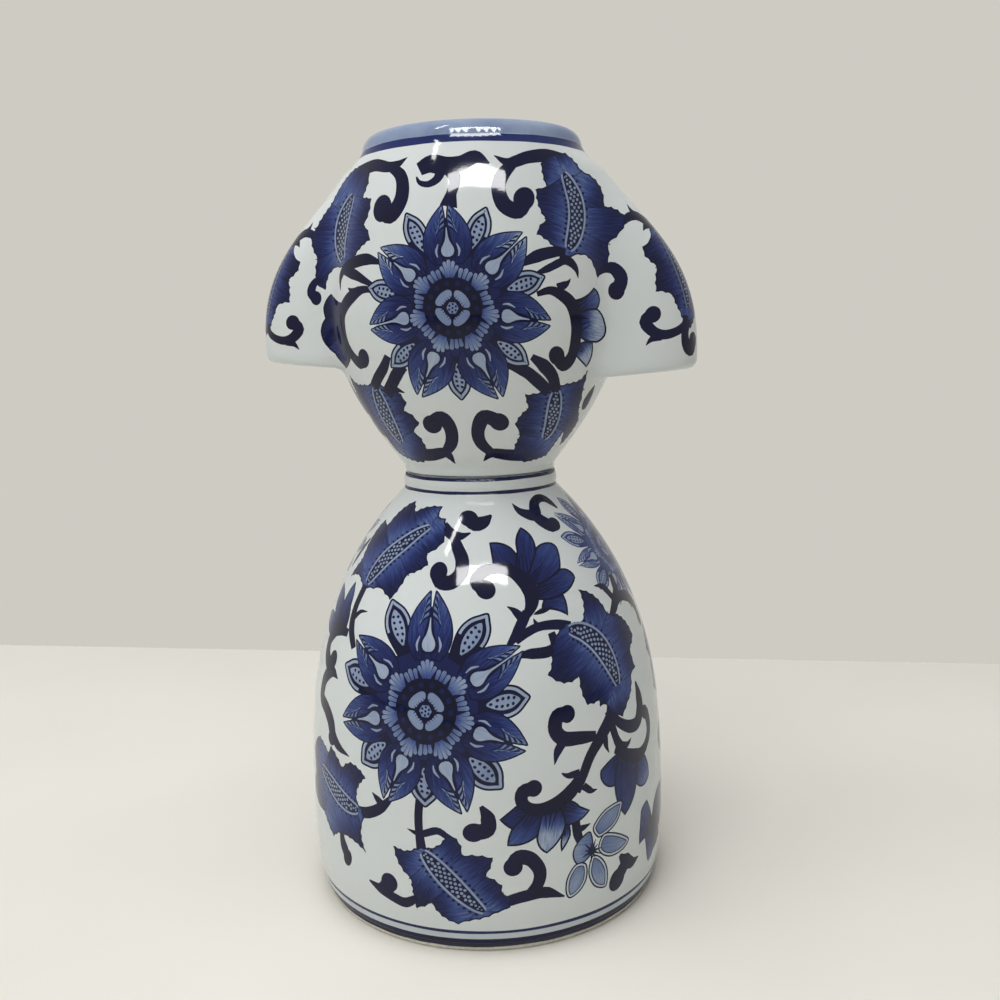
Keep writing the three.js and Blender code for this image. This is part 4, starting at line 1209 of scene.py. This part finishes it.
# Scrolls between the front and the back of the skirt
def paintSkirtSide(coat):
    flower(coat, (83, 107), 20, [186 + 51.43 * k for k in range(7)], [160 + 51.43 * k for k in range(7)],
           tips=(0.2,) * 7, broad=0.6, kiteBroad=1.1, fade=0.68)
    leaf(coat, [(88, 77), (92, 72), (96, 65), (98, 58)],
         [(86, 79), (82, 73, 0), (85, 69, 0), (82, 61, 0.05), (89, 57, 0.05), (93, 50, 0), (98, 50, 0),
          (103, 55, 0.05), (107, 57, 0), (105, 64, 0.05), (106, 71, 0.05), (99, 72, 0), (97, 79, 0.05),
          (91, 79, 0)])
    tendril(coat, [(97, 53), (96, 46), (91, 41.4), (85, 42), (82, 45.4)], (1.2, 1.5, 1.7, 1.7, 1.8),
            (84.5, 47.6, 2.3))
    tendril(coat, [(94, 43), (97, 38), (101, 35), (106, 36)], (1.1, 1.2, 1.1, 0.1))
    paleFlower(coat, (98, 24),
               [(0, (98, 29), (95, 30), (91.4, 28), (91, 25), (93, 23), (96, 22.6)),
                (1, (99, 27), (98, 31), (101, 35), (106, 35), (106, 31), (103, 28)),
                (1, (96, 22), (92, 21), (90, 17), (91, 14), (94, 14.6), (97, 18)),
                (1, (98, 22), (101, 21), (104, 17.6), (104, 14), (100, 14.6), (97, 18.6)),
                (1, (100.4, 25), (103, 27), (107, 26.4), (110, 23.6), (107, 21), (103, 21.4))])


# Bands round the hem and the waist. The lowest and darkest, on the underside of the hem's rounded edge,
# is partly the real dark glaze band and partly painted shade of the gap above the foot
skirtBands = (
    # First band: dark glaze band together with painted shade under the hem's rounded edge
    (2.8, 6.3, 0.92, 0.05, 0.5), (6.3, 8.1, 0.07, 0.06, 1.3), (8.1, 9.1, 0.8, 0.12, 2.4),
    (130.2, 131.2, 0.84, 0.12, 3.1), (134.0, 135.2, 0.84, 0.1, 4.2),
)


def skirtPainting():
    coat = Painting(skirt, True)
    coat.ease = (58, 118), (1.8, 0.0)
    for coat.turn in (0, 180):
        paintSkirtSide(coat)
    for coat.turn in (0, 180):
        paintSkirtFront(coat)
    coat.turn = 0
    for band in skirtBands:
        coat.band(*band)
    return coat


bodiceGlaze = paintedMesh("bodice_glaze", bodicePainting(), bodiceBands[-1][1])
skirtGlaze = paintedMesh("skirt_glaze", skirtPainting(), skirtBands[-1][1])


# Foot ring, turned and ground flat; its material paints the upper half dark, partly the edge of the glaze
# and partly painted shade in the gap under the skirt
footForm = {
    "rise": 2.35, "edge": 0.9, "spigotRise": 6.2, "spigotIn": 5.3, "spigotWall": 2.6,
    "topEdge": ((0.0, 0.4), (0.1, 0.12), (0.4, 0.0)), "sharpAngle": 50, "columns": 192,
}


def footPiece(name):
    form = footForm
    radius = boxMm("foot_ring")[1][0]
    edge, rise = form["edge"], form["rise"]
    spigot = radius - form["spigotIn"]
    inner = spigot - form["spigotWall"]
    bevel = edge * 0.3
    profile = [(inner, form["spigotRise"]), (inner, edge), (inner + bevel, bevel), (inner + edge, 0)]
    profile.append((radius - edge * 1.2, 0))
    for a in np.linspace(0.2, math.pi / 2, 6):
        profile.append((radius - edge * (1 - math.sin(a)), edge * (1 - math.cos(a))))
    profile += [(radius - back, rise - down) for back, down in form["topEdge"]]
    profile += [(spigot, rise), (spigot, form["spigotRise"])]
    count = form["columns"]
    verts = []
    for r, z in profile:
        for k in range(count):
            a = 2 * math.pi * k / count
            verts.append((r * math.cos(a) * mm, r * math.sin(a) * mm, z * mm))
    faces = []
    rows = len(profile)
    for i in range(rows):
        for k in range(count):
            n, j = (k + 1) % count, (i + 1) % rows
            faces.append((i * count + k, i * count + n, j * count + n, j * count + k))
    mesh = bpy.data.meshes.new(name)
    mesh.from_pydata(verts, [], faces)
    mesh.shade_smooth()
    mesh.set_sharp_from_angle(angle=math.radians(form["sharpAngle"]))
    return addObject(name, mesh)


footBiscuit = footPiece("foot_biscuit")
print("foot turned:", len(footBiscuit.data.polygons), "faces")


# Shader helpers

def srgb(*colour):
    shares = [c / 255 for c in colour]
    return tuple(s / 12.92 if s < 0.0405 else ((s + 0.055) / 1.055) ** 2.4 for s in shares) + (1.0,)


def srgbStops(stops):
    return [(spot, srgb(*colour)) for spot, colour in stops]


def addNode(tree, kind, values=None, **settings):
    node = tree.nodes.new(kind)
    for key, value in settings.items():
        setattr(node, key, value)
    for key, value in (values or {}).items():
        node.inputs[key].default_value = value
    return node


def maths(tree, operation, a, b, clamp=False):
    node = addNode(tree, "ShaderNodeMath", operation=operation, use_clamp=clamp)
    for k, value in enumerate((a, b)):
        if hasattr(value, "is_linked"):
            tree.links.new(value, node.inputs[k])
        else:
            node.inputs[k].default_value = value
    return node.outputs[0]


def noise(tree, place, scale, detail, roughness=0.5):
    node = addNode(tree, "ShaderNodeTexNoise", {"Scale": scale, "Detail": detail, "Roughness": roughness})
    tree.links.new(place, node.inputs["Vector"])
    return node.outputs[0]


def newGroup(name, inputs, outputs):
    tree = bpy.data.node_groups.new(name, "ShaderNodeTree")
    for label, kind in inputs:
        tree.interface.new_socket(label, in_out="INPUT", socket_type=kind)
    for label, kind in outputs:
        tree.interface.new_socket(label, in_out="OUTPUT", socket_type=kind)
    return tree, tree.nodes.new("NodeGroupInput").outputs, tree.nodes.new("NodeGroupOutput").inputs


def ramp(tree, fac, stops):
    node = tree.nodes.new("ShaderNodeValToRGB")
    elements = node.color_ramp.elements
    while len(elements) < len(stops):
        elements.new(0.5)
    for element, (spot, colour) in zip(elements, stops):
        element.position = spot
        element.color = colour
    tree.links.new(fac, node.inputs[0])
    return node.outputs[0]


# Cobalt under the glaze: brush streaks and pooling change the strength, and the strength picks the blue
cobaltForm = {
    "streakAlong": 0.22, "streakAcross": 2.6, "streakDepth": 0.62, "poolSize": 0.012, "poolDepth": 0.2,
    "inkStart": 6.0,
    "ramp": ((0.0, (213, 219, 219)), (0.1, (186, 195, 203)), (0.2, (150, 164, 188)),
             (0.32, (110, 127, 163)), (0.5, (56, 75, 132)), (0.72, (26, 39, 94)), (0.9, (12, 18, 60)),
             (1.0, (6, 9, 38))),
}


def cobaltGroup():
    form = cobaltForm
    tree, inputs, outputs = newGroup(
        "cobaltInk",
        [("Strength", "NodeSocketFloat"), ("Streak", "NodeSocketFloat"), ("Brush", "NodeSocketVector"),
         ("Position", "NodeSocketVector")],
        [("Color", "NodeSocketColor")])
    stretch = addNode(tree, "ShaderNodeVectorMath", operation="MULTIPLY")
    stretch.inputs[1].default_value = (form["streakAlong"], form["streakAcross"], 1.0)
    tree.links.new(inputs["Brush"], stretch.inputs[0])
    hair = noise(tree, stretch.outputs[0], 1.0, 3.0, 0.6)
    pool = noise(tree, inputs["Position"], 1 / form["poolSize"], 3.0, 0.55)
    streaks = maths(tree, "MULTIPLY", maths(tree, "SUBTRACT", hair, 0.5), form["streakDepth"])
    streaks = maths(tree, "MULTIPLY", streaks, inputs["Streak"])
    pools = maths(tree, "MULTIPLY", maths(tree, "SUBTRACT", pool, 0.5), form["poolDepth"])
    inked = maths(tree, "MULTIPLY", inputs["Strength"], form["inkStart"], True)
    change = maths(tree, "MULTIPLY", maths(tree, "ADD", streaks, pools), inked)
    strength = maths(tree, "ADD", inputs["Strength"], change, True)
    tree.links.new(ramp(tree, strength, srgbStops(form["ramp"])), outputs["Color"])
    return tree


# The melted surface of a glaze: slow waves and a faint peel
rippleForm = {
    "waveScale": 55.0, "peelScale": 420.0, "smearScale": 30.0, "smearDepth": 0.05, "gloss": 0.035,
}


def rippleGroup():
    form = rippleForm
    tree, inputs, outputs = newGroup(
        "glazeRipple",
        [("Position", "NodeSocketVector"), ("Wave", "NodeSocketFloat"), ("Peel", "NodeSocketFloat")],
        [("Height", "NodeSocketFloat"), ("Roughness", "NodeSocketFloat")])
    place = inputs["Position"]
    wave = maths(tree, "MULTIPLY", noise(tree, place, form["waveScale"], 1.0), inputs["Wave"])
    peel = maths(tree, "MULTIPLY", noise(tree, place, form["peelScale"], 2.0), inputs["Peel"])
    smear = noise(tree, place, form["smearScale"], 3.0)
    rough = maths(tree, "ADD", maths(tree, "MULTIPLY", smear, form["smearDepth"]), form["gloss"])
    tree.links.new(maths(tree, "ADD", wave, peel), outputs["Height"])
    tree.links.new(rough, outputs["Roughness"])
    return tree


cobaltInk = cobaltGroup()
glazeRipple = rippleGroup()


def newMaterial(name):
    material = bpy.data.materials.new(name)
    material.use_nodes = True
    tree = material.node_tree
    shader = tree.nodes["Principled BSDF"]
    place = addNode(tree, "ShaderNodeTexCoord").outputs["Object"]
    return material, tree, shader, place


# Clear gloss glaze over porcelain
glazeForm = {
    "ior": 1.52, "wave": 0.8, "peel": 0.06, "depth": 0.00022, "paintedSpecular": 0.25,
    "cloudScale": 40.0, "plainTint": ((0.3, (222, 226, 223)), (0.7, (231, 234, 231))),
}


def glazeMaterial(name):
    form = glazeForm
    material, tree, shader, place = newMaterial(name)
    ripple = addNode(tree, "ShaderNodeGroup", node_tree=glazeRipple)
    ripple.inputs["Wave"].default_value = form["wave"]
    ripple.inputs["Peel"].default_value = form["peel"]
    tree.links.new(place, ripple.inputs["Position"])
    bump = addNode(tree, "ShaderNodeBump", {"Strength": 1.0, "Distance": form["depth"]})
    tree.links.new(ripple.outputs["Height"], bump.inputs["Height"])
    tree.links.new(bump.outputs[0], shader.inputs["Normal"])
    tree.links.new(ripple.outputs["Roughness"], shader.inputs["Roughness"])
    shader.inputs["IOR"].default_value = form["ior"]
    return material, tree, shader, place


def paintedGlaze():
    material, tree, shader, place = glazeMaterial("painted_glaze")
    ink = addNode(tree, "ShaderNodeAttribute", attribute_name="ink")
    brush = addNode(tree, "ShaderNodeAttribute", attribute_name="brush")
    split = addNode(tree, "ShaderNodeSeparateXYZ")
    tree.links.new(ink.outputs["Vector"], split.inputs[0])
    paint = addNode(tree, "ShaderNodeGroup", node_tree=cobaltInk)
    tree.links.new(split.outputs[0], paint.inputs["Strength"])
    tree.links.new(split.outputs[1], paint.inputs["Streak"])
    tree.links.new(brush.outputs["Vector"], paint.inputs["Brush"])
    tree.links.new(place, paint.inputs["Position"])
    tree.links.new(paint.outputs["Color"], shader.inputs["Base Color"])
    shader.inputs["Specular IOR Level"].default_value = glazeForm["paintedSpecular"]
    return material


def plainGlaze():
    form = glazeForm
    material, tree, shader, place = glazeMaterial("plain_glaze")
    cloud = noise(tree, place, form["cloudScale"], 3.0)
    tree.links.new(ramp(tree, cloud, srgbStops(form["plainTint"])), shader.inputs["Base Color"])
    return material


# Bare clay, with its upper half painted dark: partly the edge of the dark glaze line lapping over it,
# partly painted shade in the gap under the skirt's rounded edge
clayForm = {
    "clay": ((0.3, (188, 184, 172)), (0.55, (214, 211, 201)), (0.8, (222, 219, 210))),
    "grainScale": 900.0, "bump": 0.4, "bumpDepth": 0.00012, "roughness": 0.8,
    # The dark colour, used above its starting height, is partly the glaze line's edge and partly painted
    # shade under the skirt's edge
    "glaze": (16, 18, 52), "glazeAndShadeFrom": 0.0014, "glazeAndShadeSharpness": 8000.0, "glazeSmoothing": 0.62,
    "driftScale": 160.0, "drift": 0.0004,
}


def footMaterial():
    form = clayForm
    material, tree, shader, place = newMaterial("foot_clay")
    grain = noise(tree, place, form["grainScale"], 4.0, 0.7)
    drift = noise(tree, place, form["driftScale"], 2.0)
    split = addNode(tree, "ShaderNodeSeparateXYZ")
    tree.links.new(place, split.inputs[0])
    edge = maths(tree, "ADD", split.outputs[2], maths(tree, "MULTIPLY", drift, form["drift"]))
    above = maths(tree, "SUBTRACT", edge, form["glazeAndShadeFrom"])
    glazeAndShadeMask = maths(tree, "MULTIPLY", above, form["glazeAndShadeSharpness"], True)
    mix = addNode(tree, "ShaderNodeMix", data_type="RGBA")
    # Painted dark above that height: glaze edge together with painted shade under the skirt
    mix.inputs[7].default_value = srgb(*form["glaze"])
    tree.links.new(glazeAndShadeMask, mix.inputs[0])
    tree.links.new(ramp(tree, grain, srgbStops(form["clay"])), mix.inputs[6])
    tree.links.new(mix.outputs[2], shader.inputs["Base Color"])
    smoother = maths(tree, "MULTIPLY", glazeAndShadeMask, form["glazeSmoothing"])
    dull = maths(tree, "SUBTRACT", form["roughness"], smoother)
    tree.links.new(dull, shader.inputs["Roughness"])
    bump = addNode(tree, "ShaderNodeBump", {"Strength": form["bump"], "Distance": form["bumpDepth"]})
    tree.links.new(grain, bump.inputs["Height"])
    tree.links.new(bump.outputs[0], shader.inputs["Normal"])
    return material


glazed = paintedGlaze()
for piece in (bodiceGlaze, skirtGlaze):
    piece.data.materials.append(glazed)
footBiscuit.data.materials.append(footMaterial())
plain = plainGlaze()
for slot in bpy.data.objects["vase_floor"].material_slots:
    slot.material = plain
print("materials made:", ", ".join(m.name for m in bpy.data.materials))


# What each piece stands for
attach(bodiceGlaze, "root")
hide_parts("bodice_shell", "right_sleeve", "left_sleeve", "neck_lip")
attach(skirtGlaze, "root")
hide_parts("skirt_shell", "waist_collar")
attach(footBiscuit, "root")
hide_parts("foot_ring")


# Floor, light and camera: metres, degrees and watts
# A lamp is its name, azimuth, elevation, distance, width, height and power.
studio = {
    "floorNear": -2.5, "floorBack": 0.212, "floorHalf": 2.5,
    "floorColour": (233, 230, 220), "floorClouds": 5,
    "wallColour": (206, 203, 195), "skyColour": (0.97, 0.985, 1.0, 1.0), "skyStrength": 0.15,
    "aim": (0.0, 0.0, 0.14),
    "lamps": (("window", -12, 47, 1.2, 0.78, 0.22, 3.2), ("pale_wall", -72, 24, 1.3, 1.1, 1.0, 2.5),
              ("ceiling", -30, 80, 1.5, 1.4, 1.4, 21.5)),
    "glints": (("window_glint", 8, 47.5, 1.19, 0.78, 0.15, 12.0),
               ("pane_glint", -37, 59, 1.2, 0.05, 0.35, 2.0)),
}


def studioFloor():
    near, back, half = studio["floorNear"], studio["floorBack"], studio["floorHalf"]
    corners = [(-half, near, 0), (half, near, 0), (half, back, 0), (-half, back, 0)]
    mesh = bpy.data.meshes.new("studio_floor")
    mesh.from_pydata(corners, [], [(0, 1, 2, 3)])
    floor = addObject("studio_floor", mesh)
    material, tree, shader, place = newMaterial("studio_paper")
    shade = studio["floorColour"]
    cloudy = [c - studio["floorClouds"] for c in shade]
    tint = ramp(tree, noise(tree, place, 6.0, 3.0), srgbStops([(0.35, cloudy), (0.65, shade)]))
    tree.links.new(tint, shader.inputs["Base Color"])
    shader.inputs["Roughness"].default_value = 0.9
    mesh.materials.append(material)


def studioSky():
    world = bpy.data.worlds.new("studio_sky")
    world.use_nodes = True
    bpy.context.scene.world = world
    tree = world.node_tree
    background = tree.nodes["Background"]
    background.inputs["Color"].default_value = studio["skyColour"]
    background.inputs["Strength"].default_value = studio["skyStrength"]
    seen = addNode(tree, "ShaderNodeBackground")
    seen.inputs["Color"].default_value = srgb(*studio["wallColour"])
    ray = addNode(tree, "ShaderNodeLightPath")
    mix = addNode(tree, "ShaderNodeMixShader")
    looked = maths(tree, "MAXIMUM", ray.outputs["Is Camera Ray"], ray.outputs["Is Transmission Ray"])
    looked = maths(tree, "MAXIMUM", looked, ray.outputs["Is Glossy Ray"])
    tree.links.new(looked, mix.inputs[0])
    tree.links.new(background.outputs[0], mix.inputs[1])
    tree.links.new(seen.outputs[0], mix.inputs[2])
    tree.links.new(mix.outputs[0], tree.nodes["World Output"].inputs["Surface"])


def softLamp(name, azimuth, elevation, distance, wide, tall, power):
    light = bpy.data.lights.new(name, "AREA")
    light.shape = "RECTANGLE"
    light.size = wide
    light.size_y = tall
    light.energy = power
    lamp = addObject(name, light)
    a, e = math.radians(azimuth), math.radians(elevation)
    away = Vector((math.sin(a) * math.cos(e), -math.cos(a) * math.cos(e), math.sin(e)))
    lamp.location = Vector(studio["aim"]) + away * distance
    lamp.rotation_euler = away.to_track_quat("Z", "Y").to_euler()
    return lamp


studioFloor()
studioSky()
for lampPlace in studio["lamps"]:
    softLamp(*lampPlace).visible_glossy = False
for lampPlace in studio["glints"]:
    softLamp(*lampPlace).visible_diffuse = False

# Camera: lens and sensor in mm, angles in degrees, places in mm
view = {
    "lens": 36.6, "sensor": 36.0, "clipStart": 0.01, "yaw": 8.0, "pitch": 8.76, "roll": 1.34,
    "aside": 5.7, "distance": 302.4, "height": 161.6,
}


def photoCamera():
    yaw, pitch, roll = (math.radians(view[k]) for k in ("yaw", "pitch", "roll"))
    right = Vector((math.cos(yaw), math.sin(yaw), 0))
    level = Vector((-math.sin(yaw), math.cos(yaw), 0))
    forward = level * math.cos(pitch) - Vector((0, 0, 1)) * math.sin(pitch)
    up = right.cross(forward)
    tiltedRight = right * math.cos(roll) - up * math.sin(roll)
    tiltedUp = right * math.sin(roll) + up * math.cos(roll)
    data = bpy.data.cameras.new("photo_camera")
    data.lens = view["lens"]
    data.sensor_width = view["sensor"]
    data.clip_start = view["clipStart"]
    camera = addObject("photo_camera", data)
    spot = right * view["aside"] - level * view["distance"] + Vector((0, 0, view["height"]))
    turned = Matrix((tiltedRight, tiltedUp, -forward)).transposed().to_4x4()
    camera.matrix_world = Matrix.Translation(spot * mm) @ turned
    bpy.context.scene.camera = camera


photoCamera()
bpy.context.scene.view_settings.view_transform = "Standard"
print("studio set")
